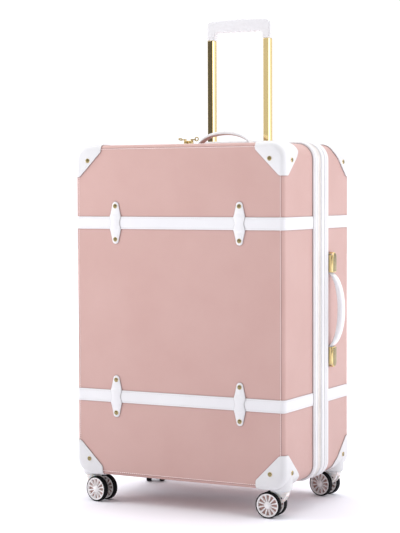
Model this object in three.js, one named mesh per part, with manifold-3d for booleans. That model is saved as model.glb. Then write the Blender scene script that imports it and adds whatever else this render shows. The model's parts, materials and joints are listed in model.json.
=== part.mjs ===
// Hard shell suitcase that stands on four twin-wheel casters, with a telescopic pull handle.
// Units are millimetres and +Z is up. The front lid faces -Y and the side handle is on +X.
// The lid and its two front casters swing open about an upright line on the -X side.
// Two soft pieces are plain solids here: the linings and the fabric gusset along the hinge side.

import * as THREE from 'three';
import { mergeVertices } from 'three/addons/utils/BufferGeometryUtils.js';
import Module from 'manifold-3d';

const wasm = await Module();
wasm.setup();

// ---------------------------------------------------------------- driving dimensions

const GAP = 0.3;                       // clearance between pieces that touch
const HUGE = 2000;                     // side of a box that cuts everything on one side of a plane

const CASE = { width: 470, depth: 315, bottom: 58.5, top: 730, corner: 32, fillet: 9, wall: 3 };
CASE.halfWidth = CASE.width / 2;
CASE.halfDepth = CASE.depth / 2;
CASE.height = CASE.top - CASE.bottom;
CASE.middle = (CASE.top + CASE.bottom) / 2;

const SHELL_EDGE = { front: 0, rear: 7 };                 // y of the two open edges
const LINING = { inset: CASE.wall + GAP, thickness: 1 };
const GUSSET = { thickness: 1, y: [9, 40], z: [95, 698] };

// The belt round the case, as spans of y, and how far it stands off the shells.
const BELT = {
  proud: 4.5,
  tapeProud: 2.8,
  frontBinding: [-25, -6],
  frontTape: [-6 + GAP, 3.2],
  rearTape: [3.8, 9 - GAP],
  rearBinding: [9, 27],
  rearPiping: [27 + GAP, 45],
};
const ZIP_Y = 3.5;

const BAND = { width: 25, proud: 1.8, upper: 573.5, lower: 221.5 };
const KEEPER = {
  x: 140, halfLength: 42.5, endRadius: 7.2, widest: 12.5, waist: 9.6, flare: 8, proud: 3.7,
};

// A corner protector covers a corner up to `reach` along each edge. Three oblique planes cut it off:
// on them x + z, y + slope * z and x + y are constant, all measured inwards from the case's faces.
const PROTECTOR = {
  proud: 2, reach: { x: 61, y: 70, top: 64, bottom: 68 }, overhang: 5,
  cutFront: { top: 74, bottom: 78 }, cutSide: { top: 87, bottom: 91 }, cutTop: 98, slope: 1.12,
};

const CASTER = {
  x: 213, y: 127, trail: 20, wheelRadius: 25.8, wheelWidth: 11.5, pairWidth: 40,
  axleRadius: 2.5, boreRadius: 2.85, forkTop: 53.7, discRadius: 20, discHeight: 1.5,
  hubRadius: 8, slotWidth: 8, webBottom: 45, stemRadius: 5, stemTop: 57.4,
  housingRadius: 23, housingBottom: 54, housingTop: 92, socketRadius: 5.6, socketTop: 62,
  chamfer: 1.2,
};
CASTER.forkWidth = CASTER.pairWidth - 2 * CASTER.wheelWidth - 4 * GAP;
CASTER.wheelY = (CASTER.pairWidth - CASTER.wheelWidth) / 2;

// The fork's cheek meets the disc between neckBack and neckFront. Its front edge bends through `bend`
// and joins the hub, whose arc runs between two angles in radians.
const FORK = { neckBack: 12, neckFront: 16, bend: [15, 33], hubArc: [-3.3, -0.72] };

// Where each caster is, as signs of x and y, and how far it is turned in degrees.
const CASTER_STATIONS = [
  ['front_right', 1, -1, 1.5],
  ['front_left', -1, -1, 169.5],
  ['rear_right', 1, 1, -11],
  ['rear_left', -1, 1, 120],
];

const TUBE = {
  x: 66, y: 123, width: 16, depth: 19, wall: 1.3, radius: 3.5, blockLength: 24,
  sleeveWall: 1.4, clearance: 0.6, bottom: 596, sleeveBottom: 100, sleeveTop: 725,
};
const FOOT_BAR = { overhang: 16, reachFront: 14, height: 18 };
const TUBE_COVER = { halfWidth: 96, front: 100, wall: 2, bottom: 76, top: 719 };
const BEZEL = { width: 190, depth: 34, radius: 8, top: 742, bevel: 4 };
const GRIP = {
  halfWidth: 75, legInner: 57, depth: 18, legBottom: 957, barBottom: 973, barTop: 996, crown: 1000,
  outerRadius: 7, innerRadius: 12, cornerRise: 1, spigotLength: 25, spigotRoot: 6,
  spigotClearance: 0.3, bevel: 2.5,
};
const BUTTON = { length: 34, width: 8, height: 8, proud: 0.6, travel: 3.5, clearance: 0.5 };

// Both carrying handles are straps on end plates. Heights are measured off the shell's face, and
// `mouth` is the free length between the strap's bend and the plate's mouth.
const HANDLE_Y = 58;
const TOP_HANDLE = {
  width: 22, halfSpan: 62, halfLength: 84, foot: 1, tongue: 2.6, inner: 23.5, outer: 28,
  plateLength: 26, plateHeight: 6.5, plateWidth: 26, mouth: 2, lift: 2,
};
const SIDE_HANDLE = {
  width: 18, halfSpan: 74.4, halfLength: 94.4, foot: 1.8, tongue: 5, inner: 19.5, outer: 33.5,
  plateLength: 42, plateHeight: 12.5, plateWidth: 22, mouth: 0.6, lift: 3.5, middle: 395.5,
};
const POCKET_PAST_ROUND = 8;           // how far an end plate's pocket runs on into its round end

// The control points of a strap's two curves: the steep one at (span, height) and the flat one at
// (crest, full height), all as shares of the half span and of the curve's height.
const STRAP_INNER = { span: 0.84, height: 0.6, crest: 0.5 };
const STRAP_OUTER = { span: 0.88, height: 0.62, crest: 0.55 };

const SLIDER = {
  x: [-64.5, -54], length: 9, width: 10, bottom: 733.1, top: 741.4, lugLength: 3, lugWidth: 4,
  pinInset: 1.8,
};
const PULL = { pinZ: 743.4, pinRadius: 0.8, earRadius: 1.6, length: 16, width: 8, thickness: 2.2 };

// ---------------------------------------------------------------- materials

const finish = (color, roughness, metalness = 0) =>
  new THREE.MeshStandardMaterial({ color, roughness, metalness });

const MATERIALS = {
  pinkLeather: finish('#dcb4ae', 0.5),
  whiteLeather: finish('#f2f1f2', 0.45),
  whitePlastic: finish('#f4f4f6', 0.35),
  clearPlastic: finish('#e4dfdd', 0.3),
  gold: finish('#c9ab62', 0.2, 1),
  tyre: finish('#111113', 0.6),
  zipTape: finish('#efe9e2', 0.9),
  lining: finish('#d9c4bb', 0.95),
  alloy: finish('#b9bbbf', 0.35, 1),
  board: finish('#e6e1dc', 0.8),
};

// ---------------------------------------------------------------- solids

function toSolid(geometry) {
  const bare = geometry.clone();
  bare.deleteAttribute('normal');
  bare.deleteAttribute('uv');
  const merged = mergeVertices(bare, 1e-4);
  return new wasm.Manifold(new wasm.Mesh({
    numProp: 3,
    vertProperties: merged.attributes.position.array,
    triVerts: new Uint32Array(merged.index.array),
  }));
}

function toGeometry(solid) {
  const mesh = solid.getMesh();
  const geometry = new THREE.BufferGeometry();
  geometry.setAttribute('position', new THREE.BufferAttribute(mesh.vertProperties, 3));
  geometry.setIndex(new THREE.BufferAttribute(mesh.triVerts, 1));
  geometry.computeVertexNormals();
  return geometry;
}

function box(x, y, z) {
  const geometry = new THREE.BoxGeometry(x[1] - x[0], y[1] - y[0], z[1] - z[0]);
  return geometry.translate((x[0] + x[1]) / 2, (y[0] + y[1]) / 2, (z[0] + z[1]) / 2);
}

const boxSolid = (x, y, z) => toSolid(box(x, y, z));

// Upright cylinder from z0 to z1.
function post(radius, x, y, z0, z1, segments = 24) {
  const geometry = new THREE.CylinderGeometry(radius, radius, z1 - z0, segments);
  return geometry.rotateX(Math.PI / 2).translate(x, y, (z0 + z1) / 2);
}

function roundedRect(width, height, radius) {
  const [x, y] = [width / 2, height / 2];
  const shape = new THREE.Shape();
  shape.moveTo(x, radius - y);
  shape.absarc(x - radius, y - radius, radius, 0, Math.PI / 2);
  shape.absarc(radius - x, y - radius, radius, Math.PI / 2, Math.PI);
  shape.absarc(radius - x, radius - y, radius, Math.PI, 1.5 * Math.PI);
  shape.absarc(x - radius, radius - y, radius, 1.5 * Math.PI, 2 * Math.PI);
  return shape;
}

// Turns an outline drawn in (x, z) into a solid that runs from y0 to y1.
function extrudeAlongY(shape, y0, y1, options = {}) {
  const bevel = options.bevel ?? 0;
  const geometry = new THREE.ExtrudeGeometry(shape, {
    depth: y1 - y0 - 2 * bevel,
    curveSegments: options.curveSegments ?? 3,
    bevelEnabled: bevel > 0,
    bevelThickness: bevel,
    bevelSize: bevel,
    bevelOffset: -bevel,
    bevelSegments: options.bevelSegments ?? 3,
  });
  return geometry.rotateX(Math.PI / 2).translate(0, y1 - bevel, 0);
}

// Turns an outline drawn in (x, y) into a solid that runs from z0 to z1.
function extrudeUp(shape, z0, z1, curveSegments = 3) {
  const geometry = new THREE.ExtrudeGeometry(shape, {
    depth: z1 - z0, curveSegments, bevelEnabled: false,
  });
  return geometry.translate(0, 0, z0);
}

function tubeOutline(width, depth, radius, wall) {
  const shape = roundedRect(width, depth, radius);
  shape.holes.push(roundedRect(width - 2 * wall, depth - 2 * wall, radius - wall));
  return shape;
}

// The whole closed case, grown by `grow` on every side.
function caseSolid(grow) {
  const outline = roundedRect(
    CASE.width + 2 * grow, CASE.height + 2 * grow, CASE.corner + grow);
  const reach = CASE.halfDepth + grow;
  const geometry = extrudeAlongY(outline, -reach, reach, { bevel: CASE.fillet + grow });
  return toSolid(geometry.translate(0, 0, CASE.middle));
}

const everything = [-HUGE, HUGE];
const inFrontOf = (y) => boxSolid(everything, [-HUGE, y], everything);
const behind = (y) => boxSolid(everything, [y, HUGE], everything);

// ---------------------------------------------------------------- scene graph

const suitcase = new THREE.Group();

function add(name, geometry, material, parent = suitcase) {
  const mesh = new THREE.Mesh(geometry, material);
  mesh.name = name;
  parent.add(mesh);
  return mesh;
}

const SIDES = [['left', -1], ['right', 1]];

// ---------------------------------------------------------------- shells and linings

// The pull handle's tubes pass through the rear shell's top wall.
function tubePassages() {
  const outline = roundedRect(
    TUBE.width + 2 * TUBE.clearance, TUBE.depth + 2 * TUBE.clearance, TUBE.radius);
  const passage = (x) => toSolid(extrudeUp(outline, CASE.middle, HUGE).translate(x, TUBE.y, 0));
  return passage(-TUBE.x).add(passage(TUBE.x));
}

function shellsAndLinings() {
  const shell = caseSolid(0).subtract(caseSolid(-CASE.wall));
  const lining = caseSolid(-LINING.inset).subtract(caseSolid(-LINING.inset - LINING.thickness));
  const front = inFrontOf(SHELL_EDGE.front);
  const rear = behind(SHELL_EDGE.rear);
  const passages = tubePassages();
  add('front_shell', toGeometry(shell.intersect(front)), MATERIALS.pinkLeather);
  add('rear_shell', toGeometry(shell.intersect(rear).subtract(passages)), MATERIALS.pinkLeather);
  add('front_lining', toGeometry(lining.intersect(front)), MATERIALS.lining);
  add('rear_lining', toGeometry(lining.intersect(rear).subtract(passages)), MATERIALS.lining);
}

// ---------------------------------------------------------------- belt round the opening

function beltRing(span, proud) {
  const ring = roundedRect(
    CASE.width + 2 * proud, CASE.height + 2 * proud, CASE.corner + proud);
  ring.holes.push(roundedRect(
    CASE.width + 2 * GAP, CASE.height + 2 * GAP, CASE.corner + GAP));
  return extrudeAlongY(ring, span[0], span[1]).translate(0, 0, CASE.middle);
}

function belt() {
  add('front_binding', beltRing(BELT.frontBinding, BELT.proud), MATERIALS.whiteLeather);
  add('front_zip_tape', beltRing(BELT.frontTape, BELT.tapeProud), MATERIALS.zipTape);
  add('rear_zip_tape', beltRing(BELT.rearTape, BELT.tapeProud), MATERIALS.zipTape);
  add('rear_binding', beltRing(BELT.rearBinding, BELT.proud), MATERIALS.whiteLeather);
  add('rear_piping', beltRing(BELT.rearPiping, BELT.proud), MATERIALS.whiteLeather);
}

// A flat fabric strip sewn inside the rear half along the side where the lid hinges.
function hingeGusset() {
  const face = CASE.halfWidth - LINING.inset - LINING.thickness - GAP;
  const strip = box([-face, GUSSET.thickness + GAP - face], GUSSET.y, GUSSET.z);
  add('hinge_gusset', strip, MATERIALS.lining);
}

// ---------------------------------------------------------------- bands and their keepers

function bands() {
  const skin = caseSolid(BAND.proud).subtract(caseSolid(GAP));
  const halves = [
    ['front', inFrontOf(BELT.frontBinding[0] - GAP)],
    ['rear', behind(BELT.rearPiping[1] + GAP)],
  ];
  for (const [half, region] of halves) {
    for (const level of ['upper', 'lower']) {
      const z = BAND[level];
      const slab = boxSolid(everything, everything, [z - BAND.width / 2, z + BAND.width / 2]);
      const solid = skin.intersect(region).intersect(slab);
      add(`${half}_band_${level}`, toGeometry(solid), MATERIALS.whiteLeather);
    }
  }
}

function keeperOutline() {
  const { halfLength, endRadius, widest, waist, flare } = KEEPER;
  const end = halfLength - endRadius;
  const shoulder = BAND.width / 2;
  const neck = shoulder + flare;
  const shape = new THREE.Shape();
  shape.moveTo(endRadius, end);
  shape.absarc(0, end, endRadius, 0, Math.PI);
  shape.quadraticCurveTo(-endRadius, neck, -widest, shoulder);
  shape.quadraticCurveTo(widest - 2 * waist, 0, -widest, -shoulder);
  shape.quadraticCurveTo(-endRadius, -neck, -endRadius, -end);
  shape.absarc(0, -end, endRadius, Math.PI, 2 * Math.PI);
  shape.quadraticCurveTo(endRadius, -neck, widest, -shoulder);
  shape.quadraticCurveTo(2 * waist - widest, 0, widest, shoulder);
  shape.quadraticCurveTo(endRadius, neck, endRadius, end);
  return shape;
}

// Each keeper lies on the lid and bridges its band through a channel in its back.
function keepers() {
  const back = -CASE.halfDepth - GAP;
  const plate = toSolid(extrudeAlongY(keeperOutline(), -CASE.halfDepth - KEEPER.proud, back));
  const channelHalf = BAND.width / 2 + GAP;
  const channel = boxSolid(
    [-HUGE, HUGE], [-CASE.halfDepth - BAND.proud - GAP, HUGE], [-channelHalf, channelHalf]);
  const keeper = plate.subtract(channel);
  for (const level of ['upper', 'lower']) {
    for (const [side, sign] of SIDES) {
      const mesh = add(`keeper_${level}_${side}`, toGeometry(keeper), MATERIALS.whiteLeather);
      mesh.position.set(sign * KEEPER.x, 0, BAND[level]);
    }
  }
}

// ---------------------------------------------------------------- corner protectors

// The convex region of one corner that its protector covers. Signs say which corner it is.
function protectorRegion(signX, signY, signZ) {
  const { reach, cutFront, cutSide, cutTop, slope, overhang } = PROTECTOR;
  const level = signZ > 0 ? 'top' : 'bottom';
  const block = boxSolid([-overhang, reach.x], [-overhang, reach.y], [-overhang, reach[level]]);
  const cuts = [
    [[1, 0, 1], cutFront[level]],
    [[0, 1, slope], cutSide[level]],
    [[1, 1, 0], cutTop],
  ];
  const region = cuts.reduce((solid, [normal, limit]) =>
    solid.trimByPlane(normal.map((n) => -n), -limit / Math.hypot(...normal)), block);
  const corner = [signX * CASE.halfWidth, signY * CASE.halfDepth, signZ > 0 ? CASE.top : CASE.bottom];
  return region.scale([-signX, -signY, -signZ]).translate(corner);
}

// Adds the round housing under a bottom corner and cuts the blind socket for the caster's stem.
function withCasterHousing(plate, x, y) {
  const { housingRadius, housingBottom, housingTop, socketRadius, socketTop } = CASTER;
  const drum = toSolid(post(housingRadius, x, y, housingBottom, housingTop, 28));
  const socket = toSolid(post(socketRadius, x, y, housingBottom - 1, socketTop, 16));
  return plate.add(drum.subtract(caseSolid(GAP))).subtract(socket);
}

function cornerProtectors() {
  const skin = caseSolid(PROTECTOR.proud).subtract(caseSolid(GAP));
  for (const [half, signY] of [['front', -1], ['rear', 1]]) {
    for (const [level, signZ] of [['top', 1], ['bottom', -1]]) {
      for (const [side, signX] of SIDES) {
        let solid = skin.intersect(protectorRegion(signX, signY, signZ));
        if (level === 'bottom') {
          solid = withCasterHousing(solid, signX * CASTER.x, signY * CASTER.y);
        }
        add(`corner_${half}_${level}_${side}`, toGeometry(solid), MATERIALS.whiteLeather);
      }
    }
  }
}

// ---------------------------------------------------------------- casters

// The fork's side outline in (x, z). The swivel axis is x = 0 and the wheels trail towards -X.
function forkOutline() {
  const { trail, wheelRadius, hubRadius, forkTop } = CASTER;
  const [arcStart, arcEnd] = FORK.hubArc;
  const shape = new THREE.Shape();
  shape.moveTo(-FORK.neckBack, forkTop);
  shape.absarc(-trail, wheelRadius, hubRadius, arcStart, arcEnd, false);
  shape.quadraticCurveTo(...FORK.bend, FORK.neckFront, forkTop);
  return shape;
}

function forkSolid() {
  const { forkWidth, slotWidth, webBottom, forkTop, discRadius, discHeight, trail } = CASTER;
  const half = forkWidth / 2;
  const axleHalf = CASTER.pairWidth / 2 - 1;
  const body = toSolid(extrudeAlongY(forkOutline(), -half, half, { curveSegments: 6 }));
  const slot = boxSolid(everything, [-slotWidth / 2, slotWidth / 2], [-HUGE, webBottom]);
  const disc = toSolid(post(discRadius, 0, 0, forkTop - discHeight, forkTop, 28));
  const stem = toSolid(post(CASTER.stemRadius, 0, 0, forkTop - discHeight, CASTER.stemTop, 16));
  const axle = toSolid(new THREE.CylinderGeometry(
    CASTER.axleRadius, CASTER.axleRadius, 2 * axleHalf, 16).translate(-trail, 0, 0));
  return body.subtract(slot).add(disc).add(stem).add(axle.translate([0, 0, CASTER.wheelRadius]));
}

// A wheel turned about its own Y axis, with a flat facet at the bottom to stand on.
function wheelGeometry() {
  const { wheelRadius, wheelWidth, boreRadius, chamfer } = CASTER;
  const segments = 28;
  const rim = wheelRadius / Math.cos(Math.PI / segments);
  const half = wheelWidth / 2;
  const profile = [
    [boreRadius, -half], [rim - chamfer, -half], [rim, chamfer - half],
    [rim, half - chamfer], [rim - chamfer, half], [boreRadius, half], [boreRadius, -half],
  ].map(([radius, y]) => new THREE.Vector2(radius, y));
  return new THREE.LatheGeometry(profile, segments, Math.PI / segments);
}

function casters() {
  const fork = forkSolid();
  for (const [place, signX, signY, turn] of CASTER_STATIONS) {
    const caster = new THREE.Group();
    caster.position.set(signX * CASTER.x, signY * CASTER.y, 0);
    caster.rotation.z = THREE.MathUtils.degToRad(turn);
    add(`caster_fork_${place}`, toGeometry(fork), MATERIALS.clearPlastic, caster);
    for (const [hand, sign] of [['a', -1], ['b', 1]]) {
      const wheel = add(`wheel_${place}_${hand}`, wheelGeometry(), MATERIALS.tyre, caster);
      wheel.position.set(-CASTER.trail, sign * CASTER.wheelY, CASTER.wheelRadius);
    }
    suitcase.add(caster);
  }
}

// ---------------------------------------------------------------- pull handle

function gripOutline() {
  const { halfWidth, legInner, legBottom, barBottom, barTop, crown, outerRadius, innerRadius } = GRIP;
  const shoulder = barTop + GRIP.cornerRise;
  const shape = new THREE.Shape();
  shape.moveTo(halfWidth, legBottom);
  shape.lineTo(halfWidth, barTop - outerRadius);
  shape.quadraticCurveTo(halfWidth, barTop, halfWidth - outerRadius, shoulder);
  shape.quadraticCurveTo(halfWidth / 2, crown, 0, crown);
  shape.quadraticCurveTo(-halfWidth / 2, crown, outerRadius - halfWidth, shoulder);
  shape.quadraticCurveTo(-halfWidth, barTop, -halfWidth, barTop - outerRadius);
  shape.lineTo(-halfWidth, legBottom);
  shape.lineTo(-legInner, legBottom);
  shape.quadraticCurveTo(-legInner, barBottom, innerRadius - legInner, barBottom);
  shape.lineTo(legInner - innerRadius, barBottom);
  shape.quadraticCurveTo(legInner, barBottom, legInner, legBottom);
  return shape;
}

function gripSolid() {
  const half = GRIP.depth / 2;
  const bow = toSolid(extrudeAlongY(gripOutline(), -half, half, { bevel: GRIP.bevel, bevelSegments: 2 }));
  const inside = 2 * (TUBE.wall + GRIP.spigotClearance);
  const spigot = roundedRect(TUBE.width - inside, TUBE.depth - inside, TUBE.radius - TUBE.wall);
  const { legBottom, spigotLength, spigotRoot, crown } = GRIP;
  const peg = toSolid(extrudeUp(spigot, legBottom - spigotLength, legBottom + spigotRoot));
  const pocket = toSolid(buttonPrism(BUTTON.clearance, crown - BUTTON.height, crown + BUTTON.height));
  return bow.add(peg.translate([TUBE.x, 0, 0])).add(peg.translate([-TUBE.x, 0, 0])).subtract(pocket);
}

function buttonPrism(grow, z0, z1) {
  const width = BUTTON.width + 2 * grow;
  return extrudeUp(roundedRect(BUTTON.length + 2 * grow, width, width / 2), z0, z1);
}

function pullHandle() {
  const { width, depth, radius, wall, clearance, sleeveWall } = TUBE;
  const { bottom, blockLength, sleeveBottom, sleeveTop } = TUBE;
  const sleeve = 2 * (clearance + sleeveWall);
  const tube = tubeOutline(width, depth, radius, wall);
  const outer = tubeOutline(width + sleeve, depth + sleeve, radius + sleeve / 2, sleeveWall);
  const block = roundedRect(width + clearance, depth + clearance, radius);
  for (const [side, sign] of SIDES) {
    const parts = [
      [`inner_tube_${side}`, tube, bottom, GRIP.legBottom - GAP, MATERIALS.gold],
      [`outer_tube_${side}`, outer, sleeveBottom, sleeveTop, MATERIALS.alloy],
      [`slide_block_${side}`, block, bottom - blockLength, bottom - GAP, MATERIALS.whitePlastic],
    ];
    for (const [name, outline, z0, z1, material] of parts) {
      const mesh = add(name, extrudeUp(outline, z0, z1), material);
      mesh.position.set(sign * TUBE.x, TUBE.y, 0);
    }
  }
  add('pull_grip', toGeometry(gripSolid()), MATERIALS.whitePlastic).position.y = TUBE.y;
  const press = BUTTON.height - BUTTON.travel - 2 * GAP;
  const button = buttonPrism(0, GRIP.crown - press, GRIP.crown + BUTTON.proud);
  add('release_button', button, MATERIALS.whitePlastic).position.y = TUBE.y;
}

function bezel() {
  const { width, depth, radius, top, bevel } = BEZEL;
  const plate = new THREE.ExtrudeGeometry(roundedRect(width, depth, radius), {
    depth: top - CASE.top - GAP - bevel, curveSegments: 3, bevelEnabled: true,
    bevelThickness: bevel, bevelSize: bevel, bevelOffset: -bevel, bevelSegments: 1,
  });
  plate.translate(0, TUBE.y, CASE.top + GAP);
  const trimmed = toSolid(plate).intersect(boxSolid(everything, everything, [CASE.top + GAP, HUGE]));
  add('pull_bezel', toGeometry(trimmed.subtract(tubePassages())), MATERIALS.whitePlastic);
}

// Cross bar that holds the feet of the two outer tubes, and the board that covers them inside.
function innerFrame() {
  const { x, y, sleeveBottom } = TUBE;
  const { overhang, reachFront, height } = FOOT_BAR;
  const back = CASE.halfDepth - LINING.inset - LINING.thickness - GAP;
  const foot = box(
    [-x - overhang, x + overhang], [y - reachFront, back], [sleeveBottom - height, sleeveBottom - GAP]);
  add('tube_foot_bar', foot, MATERIALS.alloy);
  const { halfWidth, front, wall, bottom, top } = TUBE_COVER;
  const channel = new THREE.Shape([
    [-halfWidth, back], [-halfWidth, front], [halfWidth, front], [halfWidth, back],
    [halfWidth - wall, back], [halfWidth - wall, front + wall],
    [wall - halfWidth, front + wall], [wall - halfWidth, back],
  ].map(([px, py]) => new THREE.Vector2(px, py)));
  add('tube_cover', extrudeUp(channel, bottom, top), MATERIALS.board);
}

// ---------------------------------------------------------------- carrying handles

// A strap's side outline: u runs along the strap and h is the height off the shell.
function strapOutline({ halfSpan, halfLength, foot, tongue, inner, outer }) {
  const shape = new THREE.Shape();
  const top = foot + tongue;
  const arch = (curve, height, from, to, footHeight) => {
    const [steep, flat] = [curve.span * halfSpan, curve.crest * halfSpan];
    const rise = curve.height * height;
    shape.bezierCurveTo(from * steep, rise, from * flat, height, 0, height);
    shape.bezierCurveTo(to * flat, height, to * steep, rise, to * halfSpan, footHeight);
  };
  shape.moveTo(-halfLength, foot);
  shape.lineTo(-halfSpan, foot);
  arch(STRAP_INNER, inner, -1, 1, foot);
  shape.lineTo(halfLength, foot);
  shape.lineTo(halfLength, top);
  shape.lineTo(halfSpan, top);
  arch(STRAP_OUTER, outer, 1, -1, top);
  shape.lineTo(-halfLength, top);
  return shape;
}

function strapGeometry(handle) {
  const half = handle.width / 2;
  return extrudeAlongY(strapOutline(handle), -half, half, { curveSegments: 7 });
}

// An end plate lies along +u from u = 0, round at its far end, with a pocket open at u = 0.
function endPlateSolid({ width, plateLength, plateHeight, plateWidth, foot, tongue, lift }) {
  const radius = plateWidth / 2;
  const outline = new THREE.Shape();
  outline.moveTo(0, -radius);
  outline.lineTo(plateLength - radius, -radius);
  outline.absarc(plateLength - radius, 0, radius, -Math.PI / 2, Math.PI / 2);
  outline.lineTo(0, radius);
  const plate = toSolid(extrudeUp(outline, GAP, plateHeight, 5));
  const pocketTop = foot + tongue + lift + GAP;
  const pocketHalf = width / 2 + 2 * GAP;
  const pocketEnd = plateLength - radius + POCKET_PAST_ROUND;
  return plate.subtract(boxSolid([-1, pocketEnd], [-pocketHalf, pocketHalf], [foot - GAP, pocketTop]));
}

function topHandle() {
  const group = new THREE.Group();
  group.position.set(0, HANDLE_Y, CASE.top);
  add('top_handle', strapGeometry(TOP_HANDLE), MATERIALS.whiteLeather, group);
  const plate = toGeometry(endPlateSolid(TOP_HANDLE));
  for (const [side, sign] of SIDES) {
    const mesh = add(`top_handle_plate_${side}`, plate.clone(), MATERIALS.gold, group);
    mesh.position.x = sign * (TOP_HANDLE.halfSpan + TOP_HANDLE.mouth);
    mesh.rotation.z = sign > 0 ? 0 : Math.PI;
  }
  suitcase.add(group);
}

function sideHandle() {
  const group = new THREE.Group();
  group.position.set(CASE.halfWidth, HANDLE_Y, SIDE_HANDLE.middle);
  group.rotation.y = Math.PI / 2;
  add('side_handle', strapGeometry(SIDE_HANDLE), MATERIALS.whiteLeather, group);
  const bracket = toGeometry(endPlateSolid(SIDE_HANDLE));
  for (const [level, sign] of [['lower', 1], ['upper', -1]]) {
    const mesh = add(`side_handle_bracket_${level}`, bracket.clone(), MATERIALS.gold, group);
    mesh.position.x = sign * (SIDE_HANDLE.halfSpan + SIDE_HANDLE.mouth);
    mesh.rotation.z = sign > 0 ? 0 : Math.PI;
  }
  suitcase.add(group);
}

// ---------------------------------------------------------------- zip sliders and pulls

// Cylinder along Y.
function pin(radius, halfLength, x, z, segments = 12) {
  return new THREE.CylinderGeometry(radius, radius, 2 * halfLength, segments).translate(x, 0, z);
}

// A slider's body with the lug and pin that its pull turns on, at pinX from its middle.
function sliderSolid(pinX) {
  const { length, width, bottom, top, lugLength, lugWidth } = SLIDER;
  const body = boxSolid([-length / 2, length / 2], [-width / 2, width / 2], [bottom, top]);
  const lug = boxSolid(
    [pinX - lugLength / 2, pinX + lugLength / 2], [-lugWidth / 2, lugWidth / 2],
    [top - 1, PULL.pinZ + PULL.earRadius]);
  return body.add(lug).add(toSolid(pin(PULL.pinRadius, PULL.width / 2, pinX, PULL.pinZ)));
}

function pullSolid(direction) {
  const { pinZ, earRadius, length, width, thickness, pinRadius } = PULL;
  const half = thickness / 2;
  const span = direction > 0 ? [0, length] : [-length, 0];
  const tab = boxSolid(span, [-width / 2, width / 2], [pinZ - half, pinZ + half]);
  const knuckle = toSolid(pin(earRadius, width / 2, 0, pinZ, 16));
  const bore = toSolid(pin(pinRadius + GAP, width, 0, pinZ, 16));
  const slotReach = Math.hypot(SLIDER.lugLength / 2, earRadius) + GAP;
  const slotHalf = SLIDER.lugWidth / 2 + GAP;
  const slot = boxSolid([-slotReach, slotReach], [-slotHalf, slotHalf], everything);
  return tab.add(knuckle).subtract(slot).subtract(bore);
}

function zipSliders() {
  SIDES.forEach(([side, direction], index) => {
    const pinX = direction * (SLIDER.length / 2 - SLIDER.pinInset);
    const x = SLIDER.x[index];
    const slider = add(`zip_slider_${side}`, toGeometry(sliderSolid(pinX)), MATERIALS.gold);
    slider.position.set(x, ZIP_Y, 0);
    const pull = add(`zip_pull_${side}`, toGeometry(pullSolid(direction)), MATERIALS.gold);
    pull.position.set(x + pinX, ZIP_Y, 0);
  });
}

// ---------------------------------------------------------------- assembly

shellsAndLinings();
belt();
hingeGusset();
bands();
keepers();
cornerProtectors();
casters();
pullHandle();
bezel();
innerFrame();
topHandle();
sideHandle();
zipSliders();

// The origin is the centre of the whole object's box, on the floor.
const reachLeft = CASE.halfWidth + BELT.proud;
const reachRight = CASE.halfWidth + SIDE_HANDLE.outer;
const reachFront = CASE.halfDepth + KEEPER.proud;
const reachRear = CASE.halfDepth + PROTECTOR.proud;
suitcase.position.set((reachLeft - reachRight) / 2, (reachFront - reachRear) / 2, 0);

export default suitcase;
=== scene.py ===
import json
import math

import bmesh
import bpy
from mathutils import Matrix, Vector


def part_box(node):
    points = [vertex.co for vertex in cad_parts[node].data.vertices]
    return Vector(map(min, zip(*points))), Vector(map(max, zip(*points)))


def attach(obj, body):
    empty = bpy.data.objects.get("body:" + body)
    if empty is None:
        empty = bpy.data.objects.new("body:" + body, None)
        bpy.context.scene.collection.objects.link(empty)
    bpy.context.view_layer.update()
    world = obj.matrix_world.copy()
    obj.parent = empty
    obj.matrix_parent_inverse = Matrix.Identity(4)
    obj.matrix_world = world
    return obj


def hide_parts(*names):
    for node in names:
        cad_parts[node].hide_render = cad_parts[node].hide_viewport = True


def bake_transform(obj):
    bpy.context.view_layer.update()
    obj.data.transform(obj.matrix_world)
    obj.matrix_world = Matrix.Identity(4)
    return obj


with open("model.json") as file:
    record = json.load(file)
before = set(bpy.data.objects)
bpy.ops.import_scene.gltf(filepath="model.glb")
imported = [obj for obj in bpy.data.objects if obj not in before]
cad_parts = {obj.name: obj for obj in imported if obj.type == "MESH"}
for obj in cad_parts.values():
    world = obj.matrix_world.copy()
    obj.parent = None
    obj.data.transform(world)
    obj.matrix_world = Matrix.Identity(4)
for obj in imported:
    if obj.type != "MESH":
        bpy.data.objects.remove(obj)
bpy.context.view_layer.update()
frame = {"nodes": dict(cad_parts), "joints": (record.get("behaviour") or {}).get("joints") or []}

# ---- sizes, from the frame
# Every piece is drawn in millimetres from the case's middle, with z up from the floor.

MM = 0.001
SIDES = (("left", -1), ("right", 1))
LEVELS = (("upper", 1), ("lower", -1))
front_low, front_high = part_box("front_shell")
rear_low, rear_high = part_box("rear_shell")
ORIGIN = Vector(((front_low.x + front_high.x) / 2, (front_low.y + rear_high.y) / 2, 0))
TO_FRAME = Matrix.Translation(ORIGIN) @ Matrix.Scale(MM, 4)
JOINTS = {joint["name"]: joint for joint in frame["joints"]}


def drawn(point):
    """A point of the frame in drawing millimetres."""
    return (Vector(point) - ORIGIN) / MM


def node_box(name):
    low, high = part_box(name)
    return drawn(low), drawn(high)


def node_middle(name):
    low, high = node_box(name)
    return (low + high) / 2


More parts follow.
